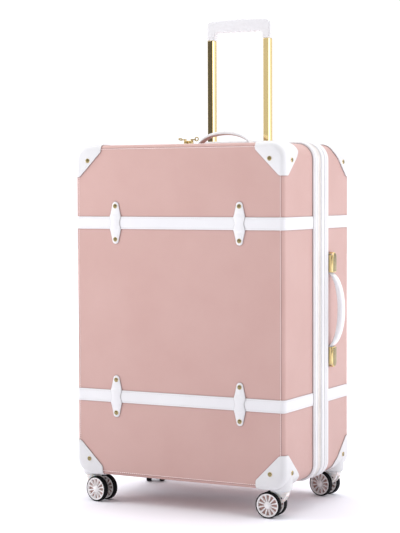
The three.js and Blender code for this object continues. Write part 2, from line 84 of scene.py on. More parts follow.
case_low = drawn(front_low)
case_high = drawn((front_high.x, rear_high.y, front_high.z))
HALF_WIDTH, HALF_DEPTH, TOP = case_high
BOTTOM = case_low.z
MIDDLE_Z = (BOTTOM + TOP) / 2
HALF_HEIGHT = (TOP - BOTTOM) / 2
EDGE_Y = {"front": drawn(front_high).y, "rear": drawn(rear_low).y}  # the two open edges
CORNER = 32  # radius of the case's corners seen from the front
FILLET = 9  # radius round the edges of the front and rear faces
WALL = 3
GAP = 0.3  # space kept between pieces that touch

# ---- mesh helpers


def show(name, mesh, material, body=None, replaces=()):
    """Puts a drawn mesh in the frame with its materials, body and the CAD nodes it stands for."""
    mesh.transform(TO_FRAME)
    piece = bpy.data.objects.new(name, mesh)
    bpy.context.scene.collection.objects.link(piece)
    materials = material if isinstance(material, list) else [material]
    indices = [min(polygon.material_index, len(materials) - 1) for polygon in mesh.polygons]
    mesh.materials.clear()
    for each in materials:
        mesh.materials.append(each)
    mesh.polygons.foreach_set("material_index", indices)
    if body:
        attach(piece, body)
    if replaces:
        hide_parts(*replaces)
    return piece


def smoothed(mesh, sharp=35):
    """Turns the faces outwards and smooths the shading up to an angle in degrees."""
    work = bmesh.new()
    work.from_mesh(mesh)
    bmesh.ops.remove_doubles(work, verts=work.verts, dist=1e-4)
    bmesh.ops.recalc_face_normals(work, faces=work.faces)
    work.to_mesh(mesh)
    work.free()
    mesh.polygons.foreach_set("use_smooth", [True] * len(mesh.polygons))
    mesh.set_sharp_from_angle(angle=math.radians(sharp))
    return mesh


def mesh_from(points, faces, sharp=35):
    mesh = bpy.data.meshes.new("mesh")
    mesh.from_pydata([tuple(p) for p in points], [], faces)
    return smoothed(mesh, sharp)


def bridge(loops, closed_loops=True, closed_chain=False):
    """Points and faces that join equal loops one after another, with caps where the chain is open."""
    size = len(loops[0])
    points = [point for loop in loops for point in loop]
    faces = []
    for row in range(len(loops) if closed_chain else len(loops) - 1):
        here = row * size
        there = (row + 1) % len(loops) * size
        for i in range(size if closed_loops else size - 1):
            j = (i + 1) % size
            faces.append((here + i, here + j, there + j, there + i))
    if not closed_chain:
        last = (len(loops) - 1) * size
        faces.append(tuple(range(size - 1, -1, -1)))
        faces.append(tuple(range(last, last + size)))
    return points, faces


def with_modifier(mesh, kind, sharp=50, **settings):
    """The mesh as one modifier leaves it."""
    piece = bpy.data.objects.new("temporary", mesh)
    bpy.context.scene.collection.objects.link(piece)
    modifier = piece.modifiers.new("modifier", kind)
    for key, value in settings.items():
        setattr(modifier, key, value)
    graph = bpy.context.evaluated_depsgraph_get()
    result = bpy.data.meshes.new_from_object(piece.evaluated_get(graph))
    bpy.data.objects.remove(piece)
    return smoothed(result, sharp)


def boolean(mesh, other, operation):
    """The mesh joined with, cut by or limited to another mesh."""
    tool = bpy.data.objects.new("tool", other)
    bpy.context.scene.collection.objects.link(tool)
    result = with_modifier(mesh, "BOOLEAN", 35, object=tool, operation=operation, solver="EXACT")
    bpy.data.objects.remove(tool)
    return result


def bevelled(mesh, width, segments=3, angle=40, sharp=50):
    """The mesh with its sharp edges rounded."""
    return with_modifier(
        mesh, "BEVEL", sharp, width=width, segments=segments, limit_method="ANGLE",
        angle_limit=math.radians(angle))


def joined(meshes, sharp=50):
    """One mesh made of several, which numbers its material slots as they come."""
    work = bmesh.new()
    for mesh in meshes:
        work.from_mesh(mesh)
    result = bpy.data.meshes.new("joined")
    work.to_mesh(result)
    work.free()
    result.polygons.foreach_set("use_smooth", [True] * len(result.polygons))
    result.set_sharp_from_angle(angle=math.radians(sharp))
    return result


def moved(mesh, matrix):
    """A copy of the mesh, moved or mirrored."""
    copy = mesh.copy()
    copy.transform(matrix)
    if matrix.determinant() < 0:
        copy.flip_normals()
    return copy


def shifted(mesh, x=0, y=0, z=0):
    return moved(mesh, Matrix.Translation((x, y, z)))


def axes_matrix(origin, x, y, z):
    """The matrix that carries the three drawing axes to x, y and z at an origin."""
    turn = Matrix((Vector(x).normalized(), Vector(y).normalized(), Vector(z).normalized())).transposed()
    return Matrix.Translation(Vector(origin)) @ turn.to_4x4()


def box_mesh(low, high):
    points = [(x, y, z) for x in (low[0], high[0]) for y in (low[1], high[1]) for z in (low[2], high[2])]
    faces = [(0, 1, 3, 2), (4, 6, 7, 5), (0, 4, 5, 1), (2, 3, 7, 6), (0, 2, 6, 4), (1, 5, 7, 3)]
    return mesh_from(points, faces, 30)


def arc(centre, radius, start, end, steps):
    """Points on a flat arc, with its angles in degrees."""
    angles = [math.radians(start + (end - start) * i / steps) for i in range(steps + 1)]
    return [(centre[0] + radius * math.cos(a), centre[1] + radius * math.sin(a)) for a in angles]


def bezier(a, b, c, d, steps):
    """Points on a flat cubic curve, without its first point."""
    points = []
    for i in range(1, steps + 1):
        t = i / steps
        weights = ((1 - t) ** 3, 3 * t * (1 - t) ** 2, 3 * t * t * (1 - t), t ** 3)
        points.append(tuple(sum(w * p[k] for w, p in zip(weights, (a, b, c, d))) for k in (0, 1)))
    return points


def rounded_outline(width, height, radius, steps=6):
    """A rounded rectangle about the origin, anticlockwise."""
    x, y = width / 2 - radius, height / 2 - radius
    corners = [((x, y), 0), ((-x, y), 90), ((-x, -y), 180), ((x, -y), 270)]
    return [point for centre, turn in corners for point in arc(centre, radius, turn, turn + 90, steps)]


def upright(outline, low, high):
    """A solid over an (x, y) outline."""
    return mesh_from(*bridge([[(x, y, z) for x, y in outline] for z in (low, high)]))


def across(outline, low, high):
    """A solid from an (x, z) outline, between two y."""
    return mesh_from(*bridge([[(x, y, z) for x, z in outline] for y in (low, high)]))


def lathe(profile, steps=32, sharp=35):
    """A solid turned about the z axis, from (radius, height) pairs."""
    loops = []
    for i in range(steps):
        turn = 2 * math.pi * i / steps
        loops.append([(r * math.cos(turn), r * math.sin(turn), h) for r, h in profile])
    return mesh_from(*bridge(loops, closed_loops=profile[0][0] > 0.01, closed_chain=True), sharp)


def smoothstep(value):
    t = min(1, max(0, value))
    return t * t * (3 - 2 * t)


def cushioned(start, end, height, seams=(), round_off=1.4, steps=26, depth=0.45):
    """(position, height) pairs over a padded strip with rounded edges and a dent along each seam."""
    pairs = []
    for i in range(steps + 1):
        place = start + (end - start) * (0.5 - 0.5 * math.cos(math.pi * i / steps))
        inset = min(place - start, end - place)
        drop = 0
        if inset < round_off:
            drop = round_off - math.sqrt(max(0, round_off ** 2 - (round_off - inset) ** 2))
        for seam in seams:
            drop += depth * math.exp(-((place - seam) / 0.8) ** 2)
        pairs.append((place, height - drop))
    return pairs


# ---- paths round the case


def perimeter(arc_steps=20, side_steps=(22, 32)):
    """Points and outward directions round the case, seen from the front, as (x, z, out x, out z)."""
    x, z = HALF_WIDTH - CORNER, HALF_HEIGHT - CORNER
    stations = []
    for number, (centre_x, centre_z) in enumerate(((x, z), (-x, z), (-x, -z), (x, -z))):
        for i in range(arc_steps + 1):
            a = math.radians(90 * (number + i / arc_steps))
            c, s = math.cos(a), math.sin(a)
            stations.append((centre_x + CORNER * c, MIDDLE_Z + centre_z + CORNER * s, c, s))
        start_x, start_z, out_x, out_z = stations[-1]
        length, steps = (2 * x, 2 * z)[number % 2], side_steps[number % 2]
        for i in range(1, steps):
            along = length * i / steps
            stations.append((start_x - out_z * along, start_z + out_x * along, out_x, out_z))
    return stations


def round_case(profile, stations):
    """Loops that carry (outwards, y) pairs round the case."""
    return [[(x + out * ox, y, z + out * oz) for x, z, ox, oz in stations] for out, y in profile]


def fillet_profile(grow, edge_y, face, steps=8):
    """(outwards, y) pairs from an edge over the fillet to the face at y = face."""
    toward = -1 if face < edge_y else 1
    radius = FILLET + grow
    centre_y = face - toward * FILLET
    pairs = [(grow, edge_y)]
    for i in range(steps + 1):
        a = math.radians(90 * i / steps)
        pairs.append((-FILLET + radius * math.cos(a), centre_y + toward * radius * math.sin(a)))
    return pairs


def case_solid(grow):
    """The closed case, grown on every side."""
    front = fillet_profile(grow, 0, -HALF_DEPTH)[::-1]
    rear = fillet_profile(grow, 0, HALF_DEPTH)[1:]
    return mesh_from(*bridge(round_case(front + rear, perimeter(16, (1, 1)))))


def level_path(toward, edge_y, steps=8):
    """Points at one height round the front or rear half, from belt to belt, as (x, y, out x, out y)."""
    x, y = HALF_WIDTH - FILLET, HALF_DEPTH - FILLET
    path = [(HALF_WIDTH, edge_y, 1, 0)]
    for sign in (1, -1):
        turns = range(steps + 1) if sign > 0 else range(steps, -1, -1)
        for i in turns:
            a = math.radians(90 * i / steps)
            out = (sign * math.cos(a), toward * math.sin(a))
            path.append((sign * x + FILLET * out[0], toward * y + FILLET * out[1], *out))
    path.append((-HALF_WIDTH, edge_y, -1, 0))
    return path


def evenly(path, pitch, closed=False):
    """(point, tangent, outward) at even steps along stations of (a, b, out a, out b)."""
    stations = path + path[:1] if closed else path
    marks = []
    due = pitch / 2
    for here, there in zip(stations, stations[1:]):
        step = Vector((there[0] - here[0], there[1] - here[1]))
        length = step.length
        if length < 1e-6:
            continue
        while due <= length:
            t = due / length
            point = Vector(here[:2]) + step * t
            out = Vector(here[2:]).lerp(Vector(there[2:]), t).normalized()
            marks.append((point, step / length, out))
            due += pitch
        due -= length
    return marks


# ---- materials


def wire(node, inputs):
    """Wires each input to an output, or sets it to a plain value."""
    for key, value in inputs.items():
        if isinstance(value, bpy.types.NodeSocket):
            node.id_data.links.new(value, node.inputs[key])
        else:
            node.inputs[key].default_value = value


def add_node(tree, kind, inputs=None, **settings):
    """A new node with its settings and inputs."""
    node = tree.nodes.new(kind)
    for key, value in settings.items():
        setattr(node, key, value)
    wire(node, inputs or {})
    return node


def new_material(name):
    """A material with its shader and its coordinates in the object's space."""
    material = bpy.data.materials.new(name)
    material.use_nodes = True
    tree = material.node_tree
    return material, tree.nodes["Principled BSDF"], add_node(tree, "ShaderNodeTexCoord").outputs["Object"]


def noise(space, scale, detail=3, roughness=0.5):
    inputs = {"Vector": space, "Scale": scale, "Detail": detail, "Roughness": roughness}
    return add_node(space.id_data, "ShaderNodeTexNoise", inputs).outputs["Fac"]


def ramp(factor, low, high, low_at=0.0, high_at=1.0):
    """A colour that runs from low to high as a factor grows."""
    node = add_node(factor.id_data, "ShaderNodeValToRGB", {"Fac": factor})
    start, end = node.color_ramp.elements
    start.position, end.position = low_at, high_at
    start.color = (*low, 1)
    end.color = (*high, 1)
    return node.outputs["Color"]


def span(value, low, high, start=0.0, end=1.0, kind="LINEAR"):
    """A value carried from start and end onto low and high."""
    inputs = {"Value": value, "From Min": start, "From Max": end, "To Min": low, "To Max": high}
    return add_node(value.id_data, "ShaderNodeMapRange", inputs, interpolation_type=kind).outputs["Result"]


def bump(shader, heights):
    """Adds bump layers, each as (height output, strength, distance in metres)."""
    below = {}
    for height, strength, distance in heights:
        inputs = {"Height": height, "Strength": strength, "Distance": distance, **below}
        layer = add_node(height.id_data, "ShaderNodeBump", inputs)
        below = {"Normal": layer.outputs["Normal"]}
    wire(shader, below)


def with_painted_shade(colour, painted_shade_colour, reach):
    """The colour with painted shade: darkened by an ambient occlusion mask in creases and beside raised edges
    within a reach in metres.
    """
    tree = colour.id_data
    openness = add_node(tree, "ShaderNodeAmbientOcclusion", {"Distance": reach}, samples=8)
    crease = ramp(openness.outputs["AO"], (1, 1, 1), (0, 0, 0), 0.4, 0.92)
    inputs = {"Factor": crease, "A": colour, "B": (*painted_shade_colour, 1)}
    return add_node(tree, "ShaderNodeMix", inputs, data_type="RGBA").outputs["Result"]


def leather(name, colour, shade, painted_shade_colour, roughness=(0.38, 0.5), grain=0.5, reach=0.002):
    """Coated leather-look sheet: pebbled grain, faint cloudiness, satin gloss and painted shade in its
    creases and beside raised edges.
    """
    material, shader, space = new_material(name)
    tree = material.node_tree
    wander_inputs = {"Vector": space, "Scale": 420, "Detail": 2}
    wander = add_node(tree, "ShaderNodeTexNoise", wander_inputs).outputs["Color"]
    warped = add_node(tree, "ShaderNodeVectorMath", {0: wander, 1: (0.0011, 0.0011, 0.0011), 2: space},
                      operation="MULTIPLY_ADD").outputs["Vector"]
    cells = {"Vector": warped, "Scale": 1150}
    edges = add_node(tree, "ShaderNodeTexVoronoi", cells, feature="DISTANCE_TO_EDGE").outputs["Distance"]
    pebbles = ramp(edges, (0, 0, 0), (1, 1, 1), 0.0, 0.28)
    wrinkles = noise(space, 170, 4, 0.6)
    # Its base colour carries painted shade in creases and beside raised edges.
    wire(shader, {
        "Base Color": with_painted_shade(ramp(noise(space, 9, 4), shade, colour, 0.3, 0.65), painted_shade_colour, reach),
        "Roughness": span(noise(space, 60, 3), *roughness),
        "Specular IOR Level": 0.45,
    })
    bump(shader, [
        (pebbles, grain, 0.00012), (wrinkles, 0.8 * grain, 0.0007), (noise(space, 34, 3), 0.15, 0.0008)])
    return material


def plastic(name, colour, shade, roughness=(0.22, 0.34), texture=0.05, subsurface=0.0):
    """Moulded plastic with a faint orange-peel surface."""
    material, shader, space = new_material(name)
    wire(shader, {
        "Base Color": ramp(noise(space, 40, 3), shade, colour, 0.35, 0.6),
        "Roughness": span(noise(space, 130, 2), *roughness),
    })
    bump(shader, [(noise(space, 900, 2), texture, 0.0001)])
    if subsurface:
        wire(shader, {
            "Subsurface Weight": subsurface,
            "Subsurface Radius": (0.006, 0.004, 0.003),
            "Subsurface Scale": 0.5,
        })
    return material


def metal(name, colour, shade, roughness=(0.08, 0.2), stretch=(1, 1, 1)):
    """Plated metal with fine handling marks, drawn out along an axis where its scale is small."""
    material, shader, space = new_material(name)
    stretched = add_node(material.node_tree, "ShaderNodeMapping", {"Vector": space, "Scale": stretch})
    marks = noise(stretched.outputs["Vector"], 300, 4, 0.6)
    wire(shader, {
        "Metallic": 1.0,
        "Base Color": ramp(noise(space, 55, 4), shade, colour, 0.3, 0.7),
        "Roughness": span(marks, *roughness),
    })
    bump(shader, [(marks, 0.05, 0.00005)])
    return material


def woven(name, colour, shade, threads=900, depth=0.00025):
    """Plain weave cloth."""
    material, shader, space = new_material(name)
    tree = material.node_tree
    wave = {"Vector": space, "Scale": threads, "Distortion": 0.6}
    waves = [add_node(tree, "ShaderNodeTexWave", wave, bands_direction=axis).outputs["Fac"] for axis in "XYZ"]
    weave = waves[0]
    for across_it in waves[1:]:
        weave = add_node(tree, "ShaderNodeMath", {0: weave, 1: across_it}, operation="MULTIPLY").outputs[0]
    patches = noise(space, 30, 4)
    wire(shader, {
        "Base Color": ramp(patches, shade, colour, 0.3, 0.7),
        "Roughness": span(patches, 0.75, 0.9),
        "Sheen Weight": 0.3,
    })
    bump(shader, [(weave, 0.5, depth), (noise(space, 1500, 2), 0.2, 0.0001)])
    return material


def rubber(name, colour, shade):
    """Tyre rubber, a little scuffed and dusty."""
    material, shader, space = new_material(name)
    dust = noise(space, 160, 5, 0.65)
    wire(shader, {
        "Base Color": ramp(dust, colour, shade, 0.45, 0.8),
        "Roughness": span(dust, 0.42, 0.7),
        "Specular IOR Level": 0.08,
    })
    bump(shader, [(noise(space, 1200, 3), 0.2, 0.0001)])
    return material


SATIN = (0.34, 0.46)  # roughness of the white leathers
ALONG_Z = (1, 1, 0.02)  # stretch of marks that run up a tube

# The third colour of each leather below is painted shade, laid in its creases and beside raised edges.
PINK = leather("pink_leather", (0.585, 0.375, 0.338), (0.56, 0.35, 0.313), (0.20, 0.10, 0.09), reach=0.004)
WHITE = leather(
    "white_leather", (0.80, 0.80, 0.81), (0.77, 0.765, 0.78), (0.34, 0.31, 0.31), SATIN, 0.35, 0.003)
THREAD = woven("white_thread", (0.72, 0.71, 0.71), (0.62, 0.61, 0.62), 3000, 0.0001)
GLOSS_WHITE = plastic("white_plastic", (0.74, 0.74, 0.755), (0.73, 0.73, 0.74), (0.25, 0.32), 0.02)
CLOUDY = plastic("cloudy_plastic", (0.90, 0.87, 0.85), (0.84, 0.79, 0.76), (0.12, 0.25), 0.03, 0.4)
ROSY = plastic("rosy_plastic", (0.50, 0.30, 0.26), (0.36, 0.22, 0.19), (0.3, 0.5))
# Warm white rim plastic, made brighter than the other white plastic as painted light on the wheels.
RIM_WHITE_LIT = plastic("rim_plastic_painted_light", (0.90, 0.88, 0.88), (0.86, 0.83, 0.82), (0.25, 0.32), 0.02)
GOLD = metal("gold_plate", (0.80, 0.62, 0.31), (0.70, 0.53, 0.25), (0.12, 0.24))
GOLD_TUBE = metal("gold_anodised", (0.80, 0.63, 0.31), (0.78, 0.61, 0.30), (0.07, 0.09), ALONG_Z)
AGED_GOLD = metal("aged_gold", (0.52, 0.41, 0.19), (0.42, 0.32, 0.14), (0.15, 0.3))
# Gold darkened to olive as a painted dark reflection, for rivet faces and the side brackets' outward faces.
GOLD_DARK_REFLECTION = metal("gold_painted_dark_reflection", (0.30, 0.25, 0.12), (0.22, 0.18, 0.085), (0.2, 0.35))
RUBBER = rubber("tyre_rubber", (0.004, 0.004, 0.005), (0.018, 0.018, 0.02))
TAPE = woven("zip_tape", (0.80, 0.76, 0.72), (0.70, 0.66, 0.62), 1400)
COIL = plastic("zip_coil", (0.86, 0.83, 0.79), (0.78, 0.74, 0.70), (0.3, 0.45))
CLOTH = woven("lining_cloth", (0.62, 0.45, 0.41), (0.53, 0.38, 0.35), 700)
BOARD = plastic("cover_board", (0.75, 0.72, 0.69), (0.68, 0.65, 0.62), (0.5, 0.7), 0.2)
ALLOY = metal("mill_alloy", (0.75, 0.76, 0.78), (0.62, 0.63, 0.65), (0.25, 0.4), ALONG_Z)
DARK_STEEL = metal("dark_steel", (0.20, 0.18, 0.19), (0.12, 0.11, 0.12), (0.25, 0.4))
STRAP_WHITE = leather(
    "strap_leather", (0.88, 0.88, 0.89), (0.85, 0.845, 0.86), (0.45, 0.42, 0.42), SATIN, 0.3)
# Pink thread for the edge stitches, lightened towards white as a painted highlight along the edges of the
# faces.
PALE_THREAD_HIGHLIGHT = woven("pink_thread_painted_highlight", (0.94, 0.81, 0.79), (0.88, 0.73, 0.71), 3000, 0.0001)
# Dark pink leather painted as the shade of the crease beside the edge stitches.
CREASE_PAINTED_SHADE = leather("pink_crease_painted_shade", (0.42, 0.24, 0.22), (0.38, 0.21, 0.19), (0.2, 0.1, 0.09))
WHITE_CAP = leather(
    "white_cap", (0.74, 0.74, 0.745), (0.71, 0.708, 0.712), (0.40, 0.37, 0.36), (0.26, 0.38), 0.2)

# ---- camera, light and floor

CAMERA = {"place": (1.5203, -2.9279, 0.6386), "azimuth": 28.14, "pitch": 2.73, "roll": -0.21, "lens": 108.1}


def camera():
    """Looks along the azimuth, a little down, with a slight roll."""
    azimuth, pitch, roll = (math.radians(CAMERA[key]) for key in ("azimuth", "pitch", "roll"))
    data = bpy.data.cameras.new("camera")
    data.lens = CAMERA["lens"]
    data.clip_end = 50
    seen = bpy.data.objects.new("camera", data)
    bpy.context.scene.collection.objects.link(seen)
    seen.matrix_world = (
        Matrix.Translation(CAMERA["place"]) @ Matrix.Rotation(azimuth, 4, "Z")
        @ Matrix.Rotation(math.pi / 2 - pitch, 4, "X") @ Matrix.Rotation(roll, 4, "Z"))
    bpy.context.scene.camera = seen


def area_light(name, place, target, size, power, colour):
    data = bpy.data.lights.new(name, "AREA")
    data.shape = "RECTANGLE"
    data.size, data.size_y = size
    data.energy = power
    data.color = colour
    light = bpy.data.objects.new(name, data)
    bpy.context.scene.collection.objects.link(light)
    light.location = place
    light.rotation_euler = (Vector(target) - Vector(place)).to_track_quat("-Z", "Y").to_euler()


def studio():
    """A white room, darker behind the camera, with soft lights above and to both sides."""
    scene = bpy.context.scene
    scene.view_settings.view_transform = "Standard"
    scene.world = room()
    middle = ORIGIN + Vector((0, 0, 0.4))
    area_light("overhead", (0.15, 0.35, 2.6), (0, 0, 0), (1.6, 1.6), 11.5, (1, 0.99, 1))
    area_light("right_box", (2.6, 0.6, 1.2), middle, (0.9, 1.6), 11, (1, 0.98, 0.98))
    area_light("front_box", (-0.51, -2.12, 1.40), (-0.51, 0, 1.4), (1.22, 1.2), 3.2, (1, 1, 1))
    area_light("left_box", (-2.0, -1.2, 1.05), middle, (1.0, 1.6), 18, (1, 0.99, 0.99))
    area_light("high_left", (-1.4, -1.2, 2.6), middle, (0.9, 0.9), 12, (1, 0.99, 1))
    area_light("key", (2.2, -1.2, 1.9), middle, (0.3, 0.3), 1.5, (1, 0.99, 0.97))
    reach, depth = FLOOR_SIZE
    floor = show("floor", box_mesh((-reach, -reach, -depth), (reach, reach, 0)), floor_material())


WORLD = {"base": 0.15, "behind": 0.95, "above": 0.45}


def room():
    """A world that is dim low down in front and white behind, with more light overhead."""
    world = bpy.data.worlds.new("studio")
    world.use_nodes = True
    tree = world.node_tree
    direction = add_node(tree, "ShaderNodeTexCoord").outputs["Generated"]
    parts = add_node(tree, "ShaderNodeSeparateXYZ", {"Vector": direction}).outputs
    base = WORLD["base"]
    white = span(parts["Y"], base, base + WORLD["behind"], -0.6, 0.35, "SMOOTHSTEP")
    above = span(parts["Z"], 0, WORLD["above"], 0.15, 0.75, "SMOOTHSTEP")
    strength = add_node(tree, "ShaderNodeMath", {0: white, 1: above}, operation="ADD").outputs[0]
    wire(tree.nodes["Background"], {"Color": (0.985, 0.98, 1.01, 1), "Strength": strength})
    return world


FLOOR_SIZE = (12000, 20)  # half its side and its depth
FLOOR_GLOW = (0.9, 2.2)  # metres from the middle between which it starts to glow white


def floor_material():
    """White studio floor that glows with emitted light further out, as painted light, so that it fades into
    the white room.
    """
    material, shader, space = new_material("floor")
    tree = material.node_tree
    distance = add_node(tree, "ShaderNodeVectorMath", {0: space}, operation="LENGTH").outputs["Value"]
    wire(shader, {
        "Base Color": ramp(noise(space, 2, 2), (0.94, 0.94, 0.99), (0.955, 0.955, 1.0)),
        "Emission Strength": span(distance, 0, 1, *FLOOR_GLOW, "SMOOTHSTEP"),
        "Emission Color": (0.6, 0.6, 0.6, 1),
        "Roughness": 0.85,
        "Specular IOR Level": 0.1,
    })
    return material


# ---- stitches, teeth and rivets


def bead(length, width, height, rings=4, sides=6):
    """Points and faces of a small round-ended bead that lies along +x and stands on z = 0."""
    points, faces = [], []
    for ring in range(rings + 1):
        t = math.pi * ring / rings
        size = max(0.15, math.sin(t))
        x = -length / 2 * math.cos(t)
        for side in range(sides):
            a = 2 * math.pi * side / sides
            points.append((x, width / 2 * size * math.cos(a), height * size * math.sin(a)))
    for ring in range(rings):
        for side in range(sides):
            a, b = ring * sides + side, ring * sides + (side + 1) % sides
            faces.append((a, b, b + sides, a + sides))
    faces.append(tuple(range(sides - 1, -1, -1)))
    faces.append(tuple(range(rings * sides, (rings + 1) * sides)))
    return points, faces


def scatter(shape, places):
    """One mesh with a copy of a (points, faces) shape at every (origin, along, up)."""
    points, faces = shape
    all_points, all_faces = [], []
    for origin, along, up in places:
        side = up.cross(along)
        first = len(all_points)
        all_points += [origin + along * x + side * y + up * z for x, y, z in points]
        all_faces += [tuple(first + i for i in face) for face in faces]
    mesh = bpy.data.meshes.new("scatter")
    mesh.from_pydata(all_points, [], all_faces)
    mesh.polygons.foreach_set("use_smooth", [True] * len(mesh.polygons))
    return mesh


STITCH_PITCH = 4.6
STITCH_SUNK = 0.45  # how far a stitch lies below the crown of its strip
STITCH = bead(3.1, 0.8, 0.35)
EDGE_STITCH = bead(3.8, 1.7, 0.85)
COIL_TOOTH = bead(1.5, 3.0, 0.8)
COIL_PITCH = 2.6
COIL_OFFSET = 1.15  # from the middle of the zip to each row of teeth


def rivet(radius=4.6, height=1.6):
    """A rivet head that stands on z = 0. Its almost flat face is material 1, gold painted dark as a
    reflection, inside a bright rim.
    """
    profile = [(0, height), (radius * 0.4, height * 0.97), (radius * 0.8, height * 0.86)]
    profile += [(radius * 0.9, height * 0.76), (radius * 0.98, height * 0.45), (radius, 0), (0, -0.4)]
    mesh = lathe(profile, 32, 60)
    return two_toned(mesh, lambda normal: normal.z > 0.9)


def two_toned(mesh, is_second):
    """The mesh with material 1 on the faces whose normals pass a test."""
    mesh.update()
    for polygon in mesh.polygons:
        polygon.material_index = 1 if is_second(polygon.normal) else 0
    return mesh


def rivet_at(name, origin, outward, body):
    up = Vector(outward)
    side = Vector((0, 0, 1)) if abs(up.z) < 0.5 else Vector((0, 1, 0))
    matrix = axes_matrix(origin, side.cross(up), up.cross(side.cross(up)), up)
    show(name, moved(rivet(), matrix), [GOLD, GOLD_DARK_REFLECTION], body)


# ---- shells and linings


def open_half(edge_y, face, outer_grow, inner_grow):
    """An open half of the case, with real thickness between two grown surfaces."""
    outer = fillet_profile(outer_grow, edge_y, face, 10)
    inner = fillet_profile(inner_grow, edge_y, face, 6)
    return mesh_from(*bridge(round_case(inner[::-1] + outer, perimeter())))


def tube_passage(clearance, low, high):
    """The two holes that the pull handle's tubes run through."""
    holes = []
    for side, _ in SIDES:
        middle = node_middle(f"inner_tube_{side}")
        outline = rounded_outline(TUBE_WIDTH + 2 * clearance, TUBE_DEPTH + 2 * clearance, 4)
        holes.append(shifted(upright(outline, low, high), middle.x, middle.y))
    return joined(holes)


def shells():
    for half, face, body in (("front", -HALF_DEPTH, "lid"), ("rear", HALF_DEPTH, "base")):
        shell = open_half(EDGE_Y[half], face, 0, -WALL)
        lining = open_half(EDGE_Y[half], face, -WALL - GAP, -WALL - GAP - 1)
        if half == "rear":
            shell = boolean(shell, tube_passage(0.6, TOP - 20, TOP + 20), "DIFFERENCE")
            lining = boolean(lining, tube_passage(1.6, TOP - 20, TOP + 20), "DIFFERENCE")
        show(f"{half}_shell_skin", shell, PINK, body, [f"{half}_shell"])
        show(f"{half}_lining_cloth", lining, CLOTH, body, [f"{half}_lining"])


SEAM_INSET = 7.8  # from the case's sides to the stitches along its two faces
CREASE_STEPS = ((-6.9, -0.1), (-6.5, 0.22), (-6.1, 0.22), (-5.7, -0.1))  # (outwards, lift) pairs


def edge_seams():
    """The stitched seam along the edges of the front and rear faces: its stitches lightened as a painted
    highlight, and beside them a narrow ring painted dark as the shade of a crease.
    """
    for half, toward, body in (("front", -1, "lid"), ("rear", 1, "base")):
        crease = []
        for out, lift in CREASE_STEPS:
            depth = HALF_DEPTH - FILLET + math.sqrt(FILLET ** 2 - (FILLET + out) ** 2)
            crease.append((out, toward * (depth + lift)))
        ring = mesh_from(*bridge(round_case(crease, perimeter(20, (1, 1))), closed_chain=True), 50)
        show(f"{half}_edge_crease_painted_shade", ring, CREASE_PAINTED_SHADE, body)
        places = ring_places(toward * (HALF_DEPTH - 0.15), -SEAM_INSET, up=Vector((0, toward, 0)))
        show(f"{half}_edge_stitches", scatter(EDGE_STITCH, places), PALE_THREAD_HIGHLIGHT, body)


# ---- belt round the opening

GUSSET_LID_END = -24
GUSSET_THICKNESS = 1.0


def belt_ring(span, proud, seams, round_off):
    low, high = span
    crown = [(out, y) for y, out in cushioned(low, high, proud, seams, round_off, 44, 1.3)]
    profile = [(GAP, low)] + crown + [(GAP, high)]
    loops = round_case(profile, perimeter(20, (1, 1)))
    return mesh_from(*bridge(loops, closed_chain=True), 50)


def ring_places(y, out, pitch=STITCH_PITCH, up=None):
    """(origin, along, up) at even steps round the case, at one y and a distance outwards."""
    places = []
    for point, tangent, outward in evenly(perimeter(20, (1, 1)), pitch, closed=True):
        away = Vector((outward.x, 0, outward.y))
        origin = Vector((point.x, y, point.y)) + away * out
        places.append((origin, Vector((tangent.x, 0, tangent.y)), up or away))
    return places


def belt():
    rings = (
        ("front_binding", "lid", 3.4, (4.2, 15.2), WHITE, "white_leather"),
        ("rear_binding", "base", 2.6, (2.8, 15.4), WHITE, "white_leather"),
        ("rear_piping", "base", 2.2, (8.2,), WHITE, "white_leather"),
        ("front_zip_tape", "lid", 0.5, (), TAPE, "zip_tape"),
        ("rear_zip_tape", "base", 0.5, (), TAPE, "zip_tape"),
    )
    for node, body, round_off, seams, material, slot in rings:
        low, high = node_box(node)
        proud = high.x - HALF_WIDTH
        seams = [low.y + seam for seam in seams]
        ring = belt_ring((low.y, high.y), proud, seams, round_off)
        show(f"{node}_sewn", ring, material, body, [node])
        for number, seam in enumerate(seams):
            if node != "rear_piping":
                stitches = scatter(STITCH, ring_places(seam, proud - STITCH_SUNK))
                show(f"{node}_stitches_{number}", stitches, THREAD, body)
    zip_y = (node_box("front_zip_tape")[1].y + node_box("rear_zip_tape")[0].y) / 2
    tape_top = node_box("front_zip_tape")[1].x - HALF_WIDTH
    for half, side, body in (("front", -1, "lid"), ("rear", 1, "base")):
        teeth = ring_places(zip_y + side * COIL_OFFSET, tape_top + 0.1, COIL_PITCH)
        show(f"zip_coil_{half}", scatter(COIL_TOOTH, teeth), COIL, body)


def hinge_gusset():
    """The woven strip inside the hinge side, sewn to both halves."""
    low, high = node_box("hinge_gusset")
    columns, rows = 30, 60
    loops = []
    for i in range(columns + 1):
        y = GUSSET_LID_END + (high.y - GUSSET_LID_END) * i / columns
        side = []
        for row in range(rows + 1):
            z = low.z + (high.z - low.z) * row / rows
            side.append((low.x + 0.12 * math.sin(z / 9) * math.sin(math.pi * i / columns), z))
        loops.append([(x, y, z) for x, z in side] + [(x + GUSSET_THICKNESS, y, z) for x, z in side[::-1]])
    piece = show("hinge_gusset_cloth", mesh_from(*bridge(loops)), CLOTH, None, ["hinge_gusset"])
    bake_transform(piece)


# ---- bands and keepers

BAND_SEAM = 2.9  # from a band's edges to its stitches


